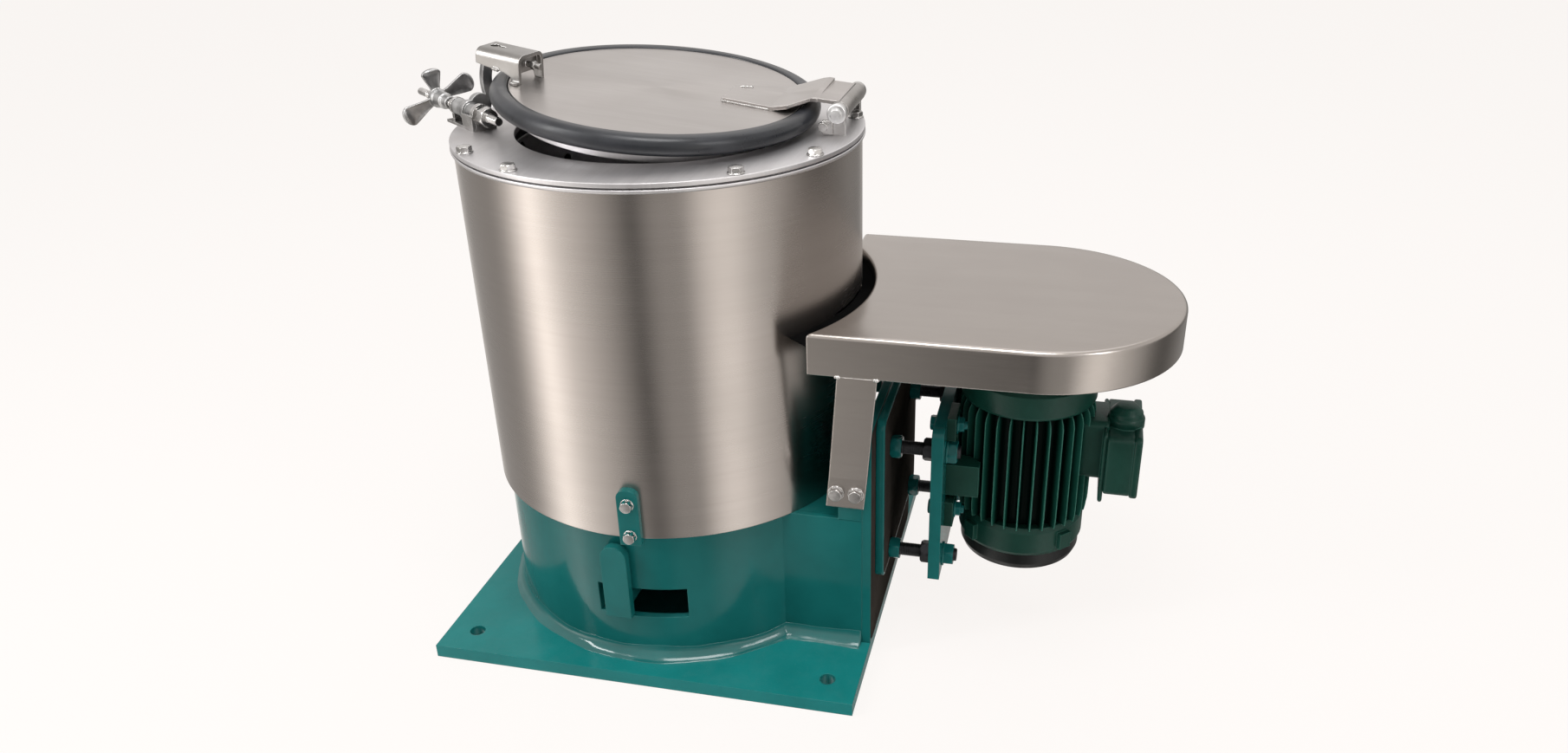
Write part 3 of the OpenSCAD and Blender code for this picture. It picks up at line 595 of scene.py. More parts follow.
def boxSheet(size, radius, corner, centre, frameOf=None):
    # rounded-rectangle loops stacked along z, inset by radius * (1 - sin t) at both ends; centre is that of the low end
    steps, around = 4, 6
    t = np.linspace(0, np.pi / 2, steps)
    inset = radius * (1 - np.sin(np.concatenate([t, t[::-1]])))
    level = np.concatenate([radius * (1 - np.cos(t)), size[2] - radius * (1 - np.cos(t[::-1]))])
    angle = (np.arange(4)[:, None] * np.pi / 2 + np.linspace(0, np.pi / 2, around)).ravel()
    away = np.repeat([[1, 1, 0], [-1, 1, 0], [-1, -1, 0], [1, -1, 0]], around, 0)
    hub = away * np.array([size[0] / 2 - corner, size[1] / 2 - corner, 0])
    grid = hub + polar((corner - inset)[:, None], angle, level[:, None])
    return placed(capped(grid, (0, 0, 0), (0, 0, size[2])), centre, frameOf), False


# places that more than one piece needs, mm and degrees

drumR, flangeTop, lidSeat, motorX = 225, 590, 591, 426
lidSet = {"lean": 2.3, "ajar": 5.8, "hinge": (205, 614)}         # the hinge's x and z


def lidPoint(points, lean=lidSet["lean"]):
    # closed lid to rest: a lean about X at the seat, then ajar about Y at the hinge
    lean, ajar = math.radians(lean), math.radians(lidSet["ajar"])
    hingeX, hingeZ = lidSet["hinge"]
    x, y, z = points[..., 0] - hingeX, points[..., 1], points[..., 2] - lidSeat
    y, z = y * math.cos(lean) - z * math.sin(lean), y * math.sin(lean) + z * math.cos(lean) + lidSeat - hingeZ
    x, z = x * math.cos(ajar) + z * math.sin(ajar), z * math.cos(ajar) - x * math.sin(ajar)
    return np.stack([x + hingeX, y, z + hingeZ], -1)


# nuts, bolts and studs; a washer is (outer radius, inner radius, height), a thread (radius, depth, pitch)

flangeBolts = {
    "azimuths": (-137, -113, -51, -25, 18, 60, 100, 140), "ring": 219, "across": 16, "height": 5.5, "lift": 1.2,
    "dome": 0.8, "washer": (9, 3, 1.3), "spin": 23,
}
guardBolts = {
    "x": (228.04, 250.4), "half": 145, "z": 223, "across": 16, "height": 6.2, "lift": 1.4, "dome": 0.6,
    "washer": (9.2, 3, 1.5), "spin": 9,
}
clipBolts = {
    "azimuth": -86, "out": 7.6, "z": (194, 234), "across": 14.2, "height": 6.4, "lift": 0.9, "dome": 0.6,
    "washer": (7.6, 3, 1.0), "spin": 20,
}
studSet = {
    "thread": (8, 0.75, 2.2), "x": (240.2, 358.3), "y": 73, "z": (108.2, 248.2), "across": 27.2, "height": 12.8,
    "bore": 7.4, "washer": (14.5, 7.6, 1.6), "painted": (244.2, 277.6, 341.5), "plain": 328, "spin": (17, 31),
}
footBolts = {
    "y": 62.5, "z": (166, 278), "across": 18, "head": {"x": 321, "height": 7, "dome": 0.5, "spin": 12},
    "nut": {"x": 351.5, "height": 8, "bore": 4.6, "spin": 40}, "washer": (10.5, 5.2, 1.6),
    "thread": (5, 0.5, 1.5), "threadX": 327.5, "threadLength": 36,
}


def makeHeads(name, values, spots, replaced=()):
    # spots: place, direction and spin; a washer on the face and a hexagon head on the washer
    sheets = []
    for place, direction, spin in spots:
        head = np.asarray(place) + np.asarray(direction) * values["lift"]
        sheets.append(washerSheet(*values["washer"], place, direction))
        sheets.append(hexSheet(values["across"], values["height"], head, direction, spin, 0, values["dome"]))
    makePiece(name, sheets, "boltSteel", replaced)


def flangeSpots(values):
    for number, azimuth in enumerate(values["azimuths"]):
        yield polar(values["ring"], math.radians(azimuth), flangeTop), (0, 0, 1), values["spin"] * number


def guardSpots(values):
    for side in (-1, 1):
        for x in values["x"]:
            yield (x, side * values["half"], values["z"]), (0, side, 0), values["spin"] * x


def clipSpots(values):
    # over the plain hexagons of the tab
    azimuth = math.radians(values["azimuth"])
    for z in values["z"]:
        yield polar(drumR + values["out"], azimuth, z), polar(1, azimuth, 0), values["spin"] + z


def makeStuds(values):
    # painted nuts inside the end plate, on the stud plate and outermost; dark ones on the motor plate's inner side
    threads, painted, plain = [], [], []
    along = (1, 0, 0)
    across, height, bore = values["across"], values["height"], values["bore"]
    start, end = values["x"]
    for row, z in enumerate(values["z"]):
        for side in (-1, 1):
            y = side * values["y"]
            spin = values["spin"][0] * side + values["spin"][1] * row
            threads.append(threadSheet(*values["thread"], end - start, (start, y, z), along))
            for x in values["painted"]:
                painted.append(hexSheet(across, height, (x, y, z), along, spin + x, bore))
            painted.append(washerSheet(*values["washer"], (values["painted"][-1], y, z), along))
            plain.append(hexSheet(across, height, (values["plain"] - height, y, z), along, spin, bore))
            plain.append(washerSheet(*values["washer"], (values["plain"] - values["washer"][2], y, z), along))
    makePiece("studThreads", threads, "blackSteel", ["plate_studs"])
    makePiece("paintedNuts", painted, "enamel", ["stud_nuts"])
    makePiece("innerNuts", plain, "blackSteel", ["lock_nuts"])


def makeFootBolts(values):
    sheets = []
    along = (1, 0, 0)
    across, head, nut = values["across"], values["head"], values["nut"]
    for z in values["z"]:
        for side in (-1, 1):
            y = side * values["y"]
            place = (nut["x"], y, z)
            spin = head["spin"] * side
            sheets.append(hexSheet(across, head["height"], (head["x"], y, z), along, spin, 0, head["dome"]))
            sheets.append(washerSheet(*values["washer"], place, along))
            sheets.append(hexSheet(across, nut["height"], place, along, nut["spin"] * side, nut["bore"]))
            sheets.append(threadSheet(*values["thread"], values["threadLength"], (values["threadX"], y, z), along, 20))
    makePiece("footBoltSet", sheets, "enamel", ["foot_bolts"])


makeHeads("flangeBoltSet", flangeBolts, flangeSpots(flangeBolts), ["flange_bolts"])
makeStuds(studSet)
makeFootBolts(footBolts)
makeHeads("guardBoltSet", guardBolts, guardSpots(guardBolts), ["guard_bolts"])
makeHeads("clipBoltHeads", clipBolts, clipSpots(clipBolts))
print("bolts and studs made")

# base

sideBoxSet = {"x": (162, 257), "half": 142, "wall": 8, "z": (16, 187), "gusset": (229, 286), "overlap": 2}
footFillet = {
    "radius": 15, "drum": 217, "azimuths": (41.2, 318.8, 420), "side": (256.5, 172, 70), "half": 142, "z": 15.6,
    "waves": ((0.012, 29.0 / (2 * math.pi), 0), (0.07, 37, 0), (0.06, 13, 1)), "under": 2, "end": 0.02,
}
plateSet = {
    "plate": ((236, 207, 10), 1.2, 12, (267.5, 0, 196.5), facingX),          # as boxSheet takes them
    "face": ((230, 201, 0.5), 0.2, 10, (277.2, 0, 196.5), facingX),
    "endFace": ((283, 283, 0.5), 0.2, 12, (267, 0, 157.8), facingX),
}


def makeSideBox(values):
    # two side walls, a top between them, and a gusset on each side under the guard's leg
    (x0, x1), (z0, z1), wall = values["x"], values["z"], values["wall"]
    start, top = values["gusset"]
    under = values["overlap"]
    sheets = []
    for side in (-1, 1):
        y = side * (values["half"] - wall / 2)
        sheets.append(boxSheet((x1 - x0, wall, z1 - z0), 0.8, 1, ((x0 + x1) / 2, y, z0)))
        sheets.append(boxSheet((x1 - start, wall, top - z1 + under), 0.8, 1, ((x1 + start) / 2, y, z1 - under)))
    sheets.append(boxSheet((x1 - x0, 2 * values["half"] - wall, wall - 0.4), 0.6, 1, ((x0 + x1) / 2, 0, z1 - wall)))
    makePiece("sideBoxWelded", sheets, "enamel", ["side_box"])


def makeFootFillet(values):
    # a hollow fillet round the foot, along one box side, the round base and the other side, with slow ripples
    first, last, count = values["azimuths"]
    curve = polar(values["drum"], np.radians(np.linspace(first, last, count)), values["z"])
    outer, inner, count = values["side"]
    near = np.linspace((outer, values["half"], values["z"]), (inner, values["half"], values["z"]), count)
    path = np.concatenate([near, curve, near[::-1] * [1, -1, 1]])
    along = lengthAlong(path)
    size = 1 + sum(height * np.sin(along / length + phase) for height, length, phase in values["waves"])
    size[[0, -1]] = values["end"]
    t = np.linspace(0, np.pi / 2, 9)
    radius, under = values["radius"], values["under"]
    hollow = radius * np.stack([1 - np.cos(t), 1 - np.sin(t)], -1)
    section = np.concatenate([[(-under, 0), (-under, radius)], hollow])
    makePiece("footFillet", [carried(path, section, size)], "footEnamel", crease=80)


def makePlates(values):
    # the stud plate, and thin dark sheets on the outer faces of both plates: painted shade and reflection
    makePiece("studPlate", [boxSheet(*values["plate"])], "enamel")
    makePiece("studFace", [boxSheet(*values["face"])], "paintedShadeWall")
    makePiece("endFace", [boxSheet(*values["endFace"])], "paintedShadeWall")


makeSideBox(sideBoxSet)
makeFootFillet(footFillet)
makePlates(plateSet)
print("base made")

# tubes, flange, lid and hinge

drumSet = {"out": drumR, "wall": 3, "levels": (187, 385, 407, 583), "window": (-19.7, 19.7)}
housingSet = {"out": 217, "wall": 8, "levels": (16, 73, 112, 187), "window": (-100, -72)}
flangeSet = {               # profile, rounding, points around
    "plate": (((160, 583), (160, 590), (228, 590), (228, 585), (222, 585), (222, 583), (160, 583)), 0.8, 192),
    "lip": (((222.5, 578.5), (226.2, 578.5), (228.4, 580.6), (228.4, 583.3), (222.5, 583.3), (222.5, 578.5)), 1.2, 192),
}
rimSet = {
    "centre": 169.5, "radius": 10.5, "inner": 154, "floor": 605, "round": 1.2,
    "roll": ((164.5, 611.9), (162, 611.2), (161, 609.4), (161, 605)),
    "ring": (((151.5, 604), (151.5, 578.6), (155, 578.6), (155, 604), (151.5, 604)), 0.6, 192),
}
hingeSet = {
    "tube": (((6.4, 47), (6.4, 0), (10.5, 0), (10.5, 94), (6.4, 94), (6.4, 47)), 0.8, 64, (205, -7, 614)),
    "pin": (((0, 0), (5.9, 0), (5.9, 111), (0, 111)), 0.8, 48, (205, -15, 614)),
    "head": (((0, -7), (9.6, -7), (10.4, -6), (10.4, 0), (0, 0)), 0.7, 48, (205, -15, 614)),
    "pinHex": (13, 4.4, (205, -21.8, 614), (0, -1, 0), 12, 0, 0.8),         # as hexSheet takes them
    "lug": ((12, 15, 6), 0.6, 1.5, (194, -12, 598.5)), "lugHex": (11, 6, (190, -17.6, 600), (0, -1, 0), 20, 0, 0.8),
}
catchSet = {
    "place": (-155.5, -39, 610.2), "turn": -13, "x": (-29, 28), "half": 21, "high": 30, "bend": 9, "sheet": 4,
    "hole": (-19, 5.2), "slot": (2.4, -5), "lowX": (-29, -18, 8, 17, 18.5, 28), "low": (14, 12.5, 10, 6, 0, 0),
    "rod": (((0, 0), (3.2, 0), (3.2, 46), (0, 46)), 0.8, 24, (-5, 0, 18), facingX),
    "sleeve": (((0, 0), (6, 0), (6, 14), (0, 14)), 0.8, 32, (-6, 0, 18), facingX),
    "nut": (10, 5, (29, 0, 18), (1, 0, 0), 8, 3.3),
    "web": ((33.6, 16, 4), 0.5, 1, (19, 0, 17.8), facingX), "tab": ((9, 8, 3), 0.6, 2, (23.5, -23, 0)),
    "weld": ((-8, -21.5, 12), (2, -21.5, 11), 16, 2.0),         # start, end, points, radius
}
strapWelds = {
    "edge": {"x": (77, 132), "lineX": (78, 152), "lineY": (-17.5, -27.5), "z": 610.8, "points": 60, "radius": 1.1},
    "beads": (((77.6, -16, 611.2), (77.6, -3, 611.2), 14, 1.9), ((77.8, 12, 611.4), (77.8, 24, 611.4), 16, 1.8),
              ((84, 30, 614.2), (98, 36, 614.2), 16, 1.5)),
}


def windowTube(values):
    # a tube with one window between two azimuths; the window's frame joins the two skins
    count = 360
    low, high = values["window"]
    angle = np.radians(low - 90 + np.linspace(0, 360, count, endpoint=False))
    first = count // 4
    last = first + round((high - low) * count / 360)
    z = np.array(values["levels"] + values["levels"][::-1], float)
    radius = np.repeat([values["out"], values["out"] - values["wall"]], 4).astype(float)
    grid = polar(radius[:, None], angle, z[:, None])
    frames = [np.concatenate([grid[under, first:last + 1], grid[over, first:last + 1][::-1]])
              for under, over in ((1, 2), (6, 5))]
    return [(grid, True, (1, first, last), (5, first, last)), (np.stack(frames), False)]


def makeTubes(drum, housing):
    makePiece("drumTube", windowTube(drum), "shellSteel", ["drum_shell"])
    makePiece("housingTube", windowTube(housing), "enamel", ["base_housing"])


def makeFlange(values):
    makePiece("flangePlate", [lathe(*values["plate"])], "flangeSteel", ["top_flange"])
    makePiece("drumLip", [lathe(*values["lip"])], "flangeSteel")


def makeRim(values):
    # a round outside, a flat top that rolls down to the step which the lid plate lies on
    t = np.radians(np.linspace(-90, 90, 25))
    radius, inner = values["radius"], values["inner"]
    outside = np.stack([values["centre"] + radius * np.cos(t), lidSeat + radius * (1 + np.sin(t))], -1)
    inside = rounded([outside[-1], *values["roll"]], values["round"])[1:]
    profile = np.concatenate([[(inner, lidSeat)], outside, inside, [(inner, values["floor"]), (inner, lidSeat)]])
    makePiece("rubberRim", moved([turned(profile, 192)], lidPoint), "rimRubber", ["lid_rim"], 50, "lid")
    sheets = moved([lathe(*values["ring"])], lidPoint)
    makePiece("locatingRing", sheets, "flangeSteel", ["lid_spigot"], body="lid")


def makeHinge(values):
    # the barrel rides with the lid and doesn't lean with its plate
    turns = axisFrame((0, 1, 0))
    sheets = moved([lathe(*values["tube"], turns)], lambda grid: lidPoint(grid, 0))
    makePiece("hingeTube", sheets, "hingeSteel", ["hinge_barrel"], body="lid")
    sheets = [lathe(*values["pin"], turns), lathe(*values["head"], turns), hexSheet(*values["pinHex"])]
    makePiece("hingePinTurned", sheets, "headSteel", ["hinge_pin"])
    sheets = [boxSheet(*values["lug"], facingBack), hexSheet(*values["lugHex"])]
    makePiece("hingeLug", sheets, "boltSteel")


def onCatch(points):
    # from the catch's own frame on the lid plate
    turn = math.radians(catchSet["turn"])
    x = points[..., 0] * math.cos(turn) - points[..., 1] * math.sin(turn)
    y = points[..., 0] * math.sin(turn) + points[..., 1] * math.cos(turn)
    return lidPoint(np.stack([x, y, points[..., 2]], -1) + catchSet["place"])


def makeCatch(values):
    # each half is a bent sheet from the wall's lower edge to the keyhole's edge y = k(x)
    x = np.linspace(*values["x"], 115)
    low = np.interp(x, values["lowX"], values["low"])[:, None]
    holeX, holeR = values["hole"]
    slot = np.where((x > holeX) & (x < values["slot"][1]), values["slot"][0], 0.02)
    key = np.maximum(slot, np.sqrt(np.clip(holeR ** 2 - (x - holeX) ** 2, 0, None)))[:, None]
    t = np.linspace(0, np.pi / 2, 8)[1:]
    share = np.linspace(0, 1, 5)[1:]
    sheets = []
    for side in (1, -1):
        skins = []
        for inset in (0, values["sheet"]):
            half, high, bend = values["half"] - inset, values["high"] - inset, values["bend"] - inset
            wall = np.linspace(0, 1, 7) * (high - bend - low) + low
            arcY = np.broadcast_to(half - bend + bend * np.cos(t), (len(x), 7))
            arcZ = np.broadcast_to(high - bend + bend * np.sin(t), (len(x), 7))
            topY = (half - bend) * (1 - share) + key * share
            y = np.concatenate([np.full_like(wall, half), arcY, topY], 1) * side
            z = np.concatenate([wall, arcZ, np.full_like(topY, high)], 1)
            skins.append(onCatch(np.stack([np.broadcast_to(x[:, None], y.shape), y, z], -1)))
        sheets.append(thickSheet(*skins))
    loose = [lathe(*values["rod"]), hexSheet(*values["nut"]), lathe(*values["sleeve"]), boxSheet(*values["web"]),
             boxSheet(*values["tab"]), beadSheet(*values["weld"])]
    makePiece("catchBent", sheets + moved(loose, onCatch), "catchSteel", ["lid_catch"], 40, "lid")


def makeStrapWelds(values):
    # beads where the strap lies on the lid plate
    edge = values["edge"]
    x = np.linspace(*edge["x"], edge["points"])
    path = np.stack([x, np.interp(x, edge["lineX"], edge["lineY"]), np.full(len(x), edge["z"])], -1)
    beads = [beadAlong(path, edge["radius"])] + [beadSheet(*bead) for bead in values["beads"]]
    makePiece("strapWelds", moved(beads, lidPoint), "boltSteel", crease=80, body="lid")


makeTubes(drumSet, housingSet)
makeFlange(flangeSet)
makeRim(rimSet)
makeHinge(hingeSet)
makeCatch(catchSet)
makeStrapWelds(strapWelds)
print("tubes, flange, lid and hinge made")

# belt guard

guardSet = {
    "half": 159.9, "left": 201, "round": 430, "cuts": ((12, -22, 232), (0, 0, 229)),          # x, y, radius
    "corners": ((201, -160), (201, -156.5), (201, 112.5), (201, 160), (198.5, -160)),
    "top": 420, "bottom": 374, "sheet": 2, "fold": 5, "runs": (46, 78), "runsTop": 405, "backHalf": 112, "backLow": 352,
}
gapSet = {"azimuths": (-38, 41, 80), "z": (404, 405), "near": 0.3, "far": 0.6}
guardWelds = {"x": (234, 275), "half": 160.4, "z": 374, "reach": 4, "radius": 2.2}


def guardReach(angle, inset, values):
    # from the round end's centre out to the outline moved in by inset: the nearest of sides, round, end and cuts
    c, s = np.cos(angle), np.sin(angle)
    half = values["half"] - inset
    reach = np.where(c > 0, half, half / np.maximum(np.abs(s), 1e-6))
    end = (values["round"] - values["left"] - inset) / np.maximum(-c, 1e-6)
    reach = np.minimum(reach, np.where(c < 0, end, 1e9))
    for x, y, radius in values["cuts"]:
        ahead = (values["round"] - x) * c - y * s
        inside = ahead ** 2 - (values["round"] - x) ** 2 - y ** 2 + (radius + inset) ** 2
        hit = -ahead - np.sqrt(np.maximum(inside, 0))
        reach = np.where((inside > 0) & (hit > 0), np.minimum(reach, hit), reach)
    return reach


def makeGuard(values):
    corners = [math.atan2(y, x - values["round"]) for x, y in values["corners"]]
    angle = np.unique(np.concatenate([np.linspace(-np.pi, np.pi, 420, endpoint=False), corners]))
    # the wall at the drum is open where the belt's two runs pass, and reaches lower on its back half
    aside = np.abs(guardReach(angle, 0, values) * np.sin(angle))
    atDrum = np.cos(angle) < 0
    runs = atDrum & (aside > values["runs"][0]) & (aside < values["runs"][1])
    back = atDrum & (np.sin(angle) > 0.1) & (aside < values["backHalf"])
    bottom = np.where(runs, values["runsTop"], np.where(back, values["backLow"], values["bottom"]))
    straight = values["top"] - values["fold"]
    t = np.linspace(0, np.pi / 2, 6)[1:]
    skins = []
    for skin in (0, values["sheet"]):
        bend = values["fold"] - skin
        insets = np.concatenate([[skin, skin], skin + bend * (1 - np.cos(t))])
        level = np.concatenate([[straight] * 2, straight + bend * np.sin(t), [straight + bend] * 4])
        z = np.broadcast_to(level[:, None], (len(level), len(angle))).copy()
        z[0] = bottom
        reach = np.stack([guardReach(angle, inset, values) for inset in insets])
        reach = np.concatenate([reach, reach[-1:] * np.array([0.85, 0.6, 0.3, 0.0])[:, None]])
        skins.append(polar(reach, angle, z) + [values["round"], 0, 0])
    sheet = np.concatenate([skins[0][::-1], skins[1]])
    makePiece("guardSheet", [(sheet, False)], "guardSteel", ["belt_guard"], 40)


def makeGapShade(values, cuts):
    # a black strip in the gap at the drum, where the guard's inside is in shade: painted shade; from the drum's radius
    # to the cut wall
    turn = np.radians(np.linspace(*values["azimuths"]))
    low, high = values["z"]
    walls = []
    for x, y, radius in cuts:
        lean = x * np.cos(turn) + y * np.sin(turn)
        walls.append(lean + np.sqrt(radius ** 2 - x * x - y * y + lean ** 2))
    near, far = np.full(len(turn), drumR + values["near"]), np.maximum(*walls) + values["far"]
    ring = np.stack([polar(radius, turn, z) for radius, z in ((near, low), (near, high), (far, high), (far, low))], 1)
    sheet = capped(ring, ring[0].mean(0), ring[-1].mean(0))
    makePiece("gapShadeStrip", [(sheet, False)], "paintedShadeStrip")


def makeGuardWelds(values):
    z, reach, half, radius = (values[key] for key in ("z", "reach", "half", "radius"))
    dots = [beadSheet((x - reach, side * half, z), (x + reach, side * half, z), 12, radius)
            for side in (-1, 1) for x in values["x"]]
    makePiece("guardWelds", dots, "boltSteel", crease=80)


makeGuard(guardSet)
makeGapShade(gapSet, guardSet["cuts"])
makeGuardWelds(guardWelds)
print("guard made")

# motor

finSet = {
    "count": 32, "root": 61, "tip": 78, "foot": 153,
    "share": (0, 0.16, 0.30, 0.37, 0.415, 0.44, 0.47, 0.50, 0.53, 0.56, 0.585, 0.63, 0.70, 0.84),
    "wall": (0, 0, 0.03, 0.10, 0.35, 0.93, 1.0, 1.0, 1.0, 0.93, 0.35, 0.10, 0.03, 0),
    "level": (0, 0.4, 2, 5, 9, 16, 30, 60, 90, 118, 130, 137, 142, 144.6, 145),
    "endLevel": (0, 2, 7, 12, 132, 140, 145), "end": (0.9, 0.92, 0.97, 1, 1, 0.86, 0.62),
}
terminalSet = {
    "blocks": (((62, 74, 30), (490, 0, 242)), ((96, 92, 5), (514, 0, 229)), ((104, 76, 30), (519, 0, 235)),
               ((107, 79, 9), (548, 0, 235))),          # neck, flange, box and cover: size, place
    "edge": 2.5, "corner": 8,
    "plug": (((0, 270), (21, 270), (21, 281), (18.5, 284), (18.5, 288), (12, 295), (0, 296)), 1.5, 48, (538, -10, 0)),
}


def makeFins(values):
    # r(a, z) = root + (tip - root) * wall(a) * end(z): thin fins with a rounded root that sink at both ends
    count, foot = values["count"], values["foot"]
    angle = (np.arange(count)[:, None] + np.array(values["share"]) - 0.5).ravel() * 2 * np.pi / count
    level = np.array(values["level"])
    end = np.interp(level, values["endLevel"], values["end"])
    radius = values["root"] + (values["tip"] - values["root"]) * np.tile(values["wall"], count) * end[:, None]
    grid = polar(radius, angle, level[:, None] + foot) + [motorX, 0, 0]
    grid = capped(grid, (motorX, 0, foot), (motorX, 0, foot + level[-1]))
    makePiece("motorFins", [(grid, False)], "finPaintLitAndShaded", ["motor_body"], 50)


def makeTerminalBox(values):
    sheets = [boxSheet(size, values["edge"], values["corner"], place, facingX) for size, place in values["blocks"]]
    sheets.append(lathe(*values["plug"]))
    makePiece("terminalBoxCast", sheets, "motorPaint", ["terminal_box"])


makeFins(finSet)
makeTerminalBox(terminalSet)
print("motor made")

# latch

latchAxis = polar(1, math.radians(-37), 0)
latchAcross = np.array([-latchAxis[1], latchAxis[0], 0])
latchCentre = np.array([-200.0, -49, 606])
nutPlace = latchCentre + latchAxis * -98
screwSet = {
    "thread": (5, 0.5, 1.5), "start": -142, "plain": 22, "end": 61,
    "tip": (((0, 0), (4.4, 0), (4.4, 22), (4, 23.5), (0, 23.5)), 1.2, 32),
    "collar": {"across": 23, "height": 16, "place": 23, "spin": 14, "bore": 4.6},
}
wingSet = {
    "wings": ((188, 34), (109, 48), (294, 47)),         # angle, reach
    "halfAt": (0, 0.25, 0.62, 0.78), "half": (4.6, 6.0, 10.0, 11.5), "start": 6, "thick": 3.5, "web": 0.30,
    "hub": (((5.3, 0), (10.2, 0), (11, 1.5), (11, 8), (9.4, 12), (9.4, 26), (7.5, 28), (7.5, 38.5), (6.8, 40),
             (5.3, 40), (5.3, 0)), 0.9, 64),
}


def makeScrew(values):
    # a plain tip, the thread, and a hexagon collar on it
    plain, collar = values["plain"], values["collar"]
    start, place = latchCentre + latchAxis * values["start"], latchCentre + latchAxis * collar["place"]
    length = values["end"] - values["start"] - plain
    sheets = [lathe(*values["tip"], start, axisFrame(latchAxis)),
              threadSheet(*values["thread"], length, start + latchAxis * plain, latchAxis, 24),
              hexSheet(collar["across"], collar["height"], place, latchAxis, collar["spin"], collar["bore"])]
    makePiece("latchScrewThread", sheets, "boltSteel", ["latch_screw"])


def wingSheet(angle, reach, values):
    # along u from hub to tip: half width 4.6 to 11.5, closing as a half circle; across it a thick rim and a thinner web
    last = values["halfAt"][-1]
    u = np.concatenate([np.linspace(0, last, 26), last + (1 - last) * np.sin(np.linspace(0.12, 1, 12) * np.pi / 2)])
    close = np.sqrt(np.clip(1 - np.clip((u - last) / (1 - last), 0, 1) ** 2, 0, 1))
    half = np.interp(u, values["halfAt"], values["half"]) * close
    u = u[:, None]
    a = circle(28)
    side = np.sign(np.cos(a)) * np.abs(np.cos(a)) ** 0.8
    rim = np.clip(1.2 * np.maximum(np.abs(side), np.clip((u - 0.4) / 0.5, 0, 1)) ** 6, 0, 1)
    web = values["web"] + (1 - values["web"]) * rim
    thick = values["thick"] * web * np.sign(np.sin(a)) * np.abs(np.sin(a)) ** 0.55
    thick *= np.sqrt(np.clip(1 - ((u - 0.9) / 0.1).clip(0, 1) ** 2, 0, 1))
    along, across = values["start"] + u * (reach - values["start"]), half[:, None] * side
    turn = math.radians(angle)
    x = along * math.cos(turn) - across * math.sin(turn)
    y = along * math.sin(turn) + across * math.cos(turn)
    grid = np.stack([x, y, thick + values["thick"]], -1)
    # the source turns its own Z onto the screw: x to -Z, y across
    rows = np.array([[0, 0, -1.0], latchAcross, latchAxis])
    return placed(capped(grid, grid[0].mean(0), grid[-1].mean(0)), nutPlace, rows), False


def makeWingNut(values):
    sheets = [lathe(*values["hub"], nutPlace, axisFrame(latchAxis))]
    sheets += [wingSheet(angle, reach, values) for angle, reach in values["wings"]]
    makePiece("wingNutForged", sheets, "wingSteel", ["wing_nut"], 50, "wing_nut")


makeScrew(screwSet)
makeWingNut(wingSet)
print("latch made")

# floor and light

lightSet = {
    "aim": (0.15, 0, 0.3),
    "boxes": [              # azimuth, elevation, distance, width, height, power
        ("keyBox", -146, 34, 2.6, 0.30, 1.7, 22),
        ("fillBox", -32, 32, 2.8, 0.40, 1.2, 11),
        ("backBox", 80, 60, 3.0, 2.4, 1.6, 10),
        ("topBox", -80, 74, 2.8, 1.1, 1.1, 30),
    ],
}
roomSet = {
    "room": rgb(0.42, 0.42, 0.42),          # what the open room adds from all sides
    "round": [              # what a glossy ray sees at and below the horizon: azimuth, tone
        (-180, 0.50), (-174, 0.58), (-166, 1.00), (-158, 1.75), (-149, 2.75), (-141, 1.90), (-132, 1.30), (-123, 1.05),
        (-115, 0.82), (-106, 0.60), (-97, 0.33), (-89, 0.08), (-82, 0.38), (-76, 0.52), (-62, 0.48), (-53, 1.12),
        (-44, 1.60), (-35, 1.55), (-27, 1.15), (-18, 0.92), (-9, 0.75), (0, 0.55), (8, 0.32), (16, 0.18), (25, 0.16),
        (41, 0.28), (58, 0.36), (78, 0.30), (100, 0.75), (127, 1.05), (143, 0.48), (160, 0.46),
    ],
    "warm": (1, 0.96, 0.92), "scale": 3.0, "horizon": (0.02, 0.26), "paper": rgb(0.965, 0.930, 0.905),
}
floorSet = {
    "rings": (0, 300, 700, 1200, 2500, 6000, 14000, 40000.0), "around": 48, "z": -0.4, "glow": 0.935,
    "hidden": rgb(0.8, 0.8, 0.8), "seen": rgb(0.10, 0.10, 0.10),
}


def makeLights(values):
    for name, azimuth, elevation, distance, width, height, power in values["boxes"]:
        a, e = math.radians(azimuth), math.radians(elevation)
        away = Vector((math.cos(a) * math.cos(e), math.sin(a) * math.cos(e), math.sin(e)))
        data = bpy.data.lights.new(name, "AREA")
        data.shape, data.size, data.size_y, data.energy = "RECTANGLE", width, height, power
        lamp = bpy.data.objects.new(name, data)
        lamp.location = Vector(values["aim"]) + away * distance
        lamp.rotation_euler = away.to_track_quat("Z", "Y").to_euler()
        lamp.visible_camera = False
        scene.collection.objects.link(lamp)


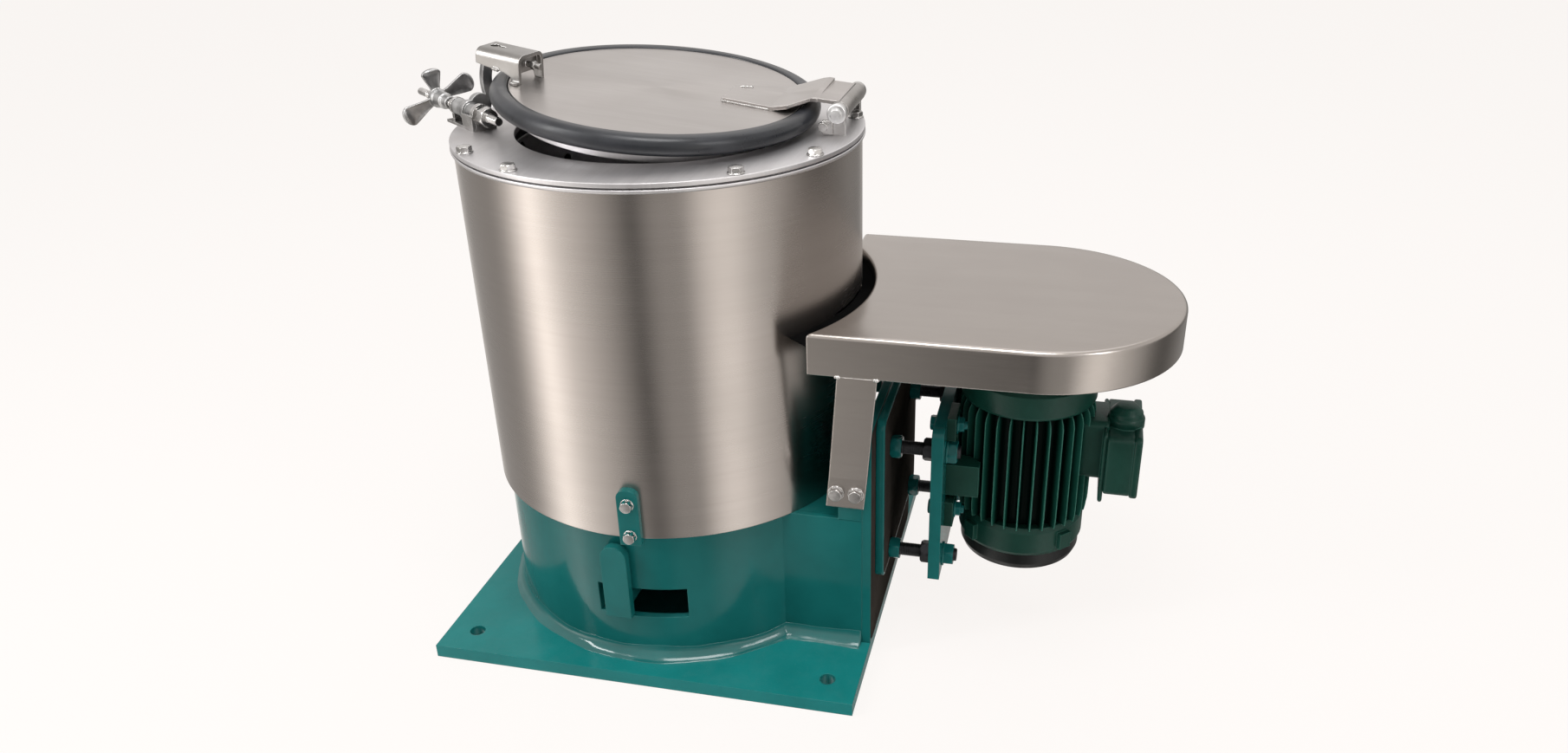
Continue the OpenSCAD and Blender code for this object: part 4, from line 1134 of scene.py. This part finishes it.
def seenStraight(tree):
    # 1 where the camera looks, past glass too, 0 for all that only bounces
    path = addNode(tree, "LightPath").outputs
    return calc("MAXIMUM", path["Is Camera Ray"], path["Is Transmission Ray"])


def makeWorld(values):
    # paper to the camera, a plain room to matt surfaces, the table of tones to glossy ones
    world = bpy.data.worlds.new("room")
    world.use_nodes = True
    scene.world = world
    tree = world.node_tree
    way = split(addNode(tree, "TexCoord").outputs["Generated"])
    turn = plus(calc("DIVIDE", calc("ARCTAN2", way[1], way[0]), 2 * math.pi), 0.5)
    ramp = addNode(tree, "ValToRGB", {"Fac": turn})
    stops = ramp.color_ramp.elements
    for number, (azimuth, tone) in enumerate(values["round"]):
        place = azimuth / 360 + 0.5
        stop = stops[number] if number < 2 else stops.new(place)
        stop.position = place
        stop.color = rgb(*(tone * share / values["scale"] for share in values["warm"]))
    band = addNode(tree, "VectorMath", {0: ramp.outputs[0], "Scale": values["scale"]}, operation="SCALE")
    glossy = blend(remap(way[2], *values["horizon"]), band.outputs[0], values["paper"])
    color = blend(addNode(tree, "LightPath").outputs["Is Glossy Ray"], values["room"], glossy)
    color = blend(seenStraight(tree), color, values["paper"])
    feed(tree.nodes["Background"].inputs["Color"], color)


def makeFloor(values, paper):
    # a wide sheet of rings that shows as the pale paper and keeps the shadow
    count = values["around"]
    grid = polar(np.array(values["rings"])[:, None], circle(count), values["z"])
    index = np.arange(len(grid) * count).reshape(-1, count)
    quads = quadsOf(np.hstack([index, index[:, :1]])).reshape(-1, 4)
    mesh = bpy.data.meshes.new("floor")
    mesh.from_pydata(grid.reshape(-1, 3) * mm, [], quads.tolist())
    floor = bpy.data.objects.new("floor", mesh)
    scene.collection.objects.link(floor)
    floor.visible_glossy = False
    material, tree, shader = startMaterial("paperFloor")
    seen = seenStraight(tree)
    color = blend(seen, values["hidden"], values["seen"])
    fill(shader, {"Base Color": color, "Roughness": 1.0, "Specular IOR Level": 0.0, "Emission Color": paper,
                  "Emission Strength": times(seen, values["glow"])})
    mesh.materials.append(material)


makeWorld(roomSet)
makeFloor(floorSet, roomSet["paper"])
makeLights(lightSet)
scene.view_settings.view_transform = "Standard"
print("studio lit")
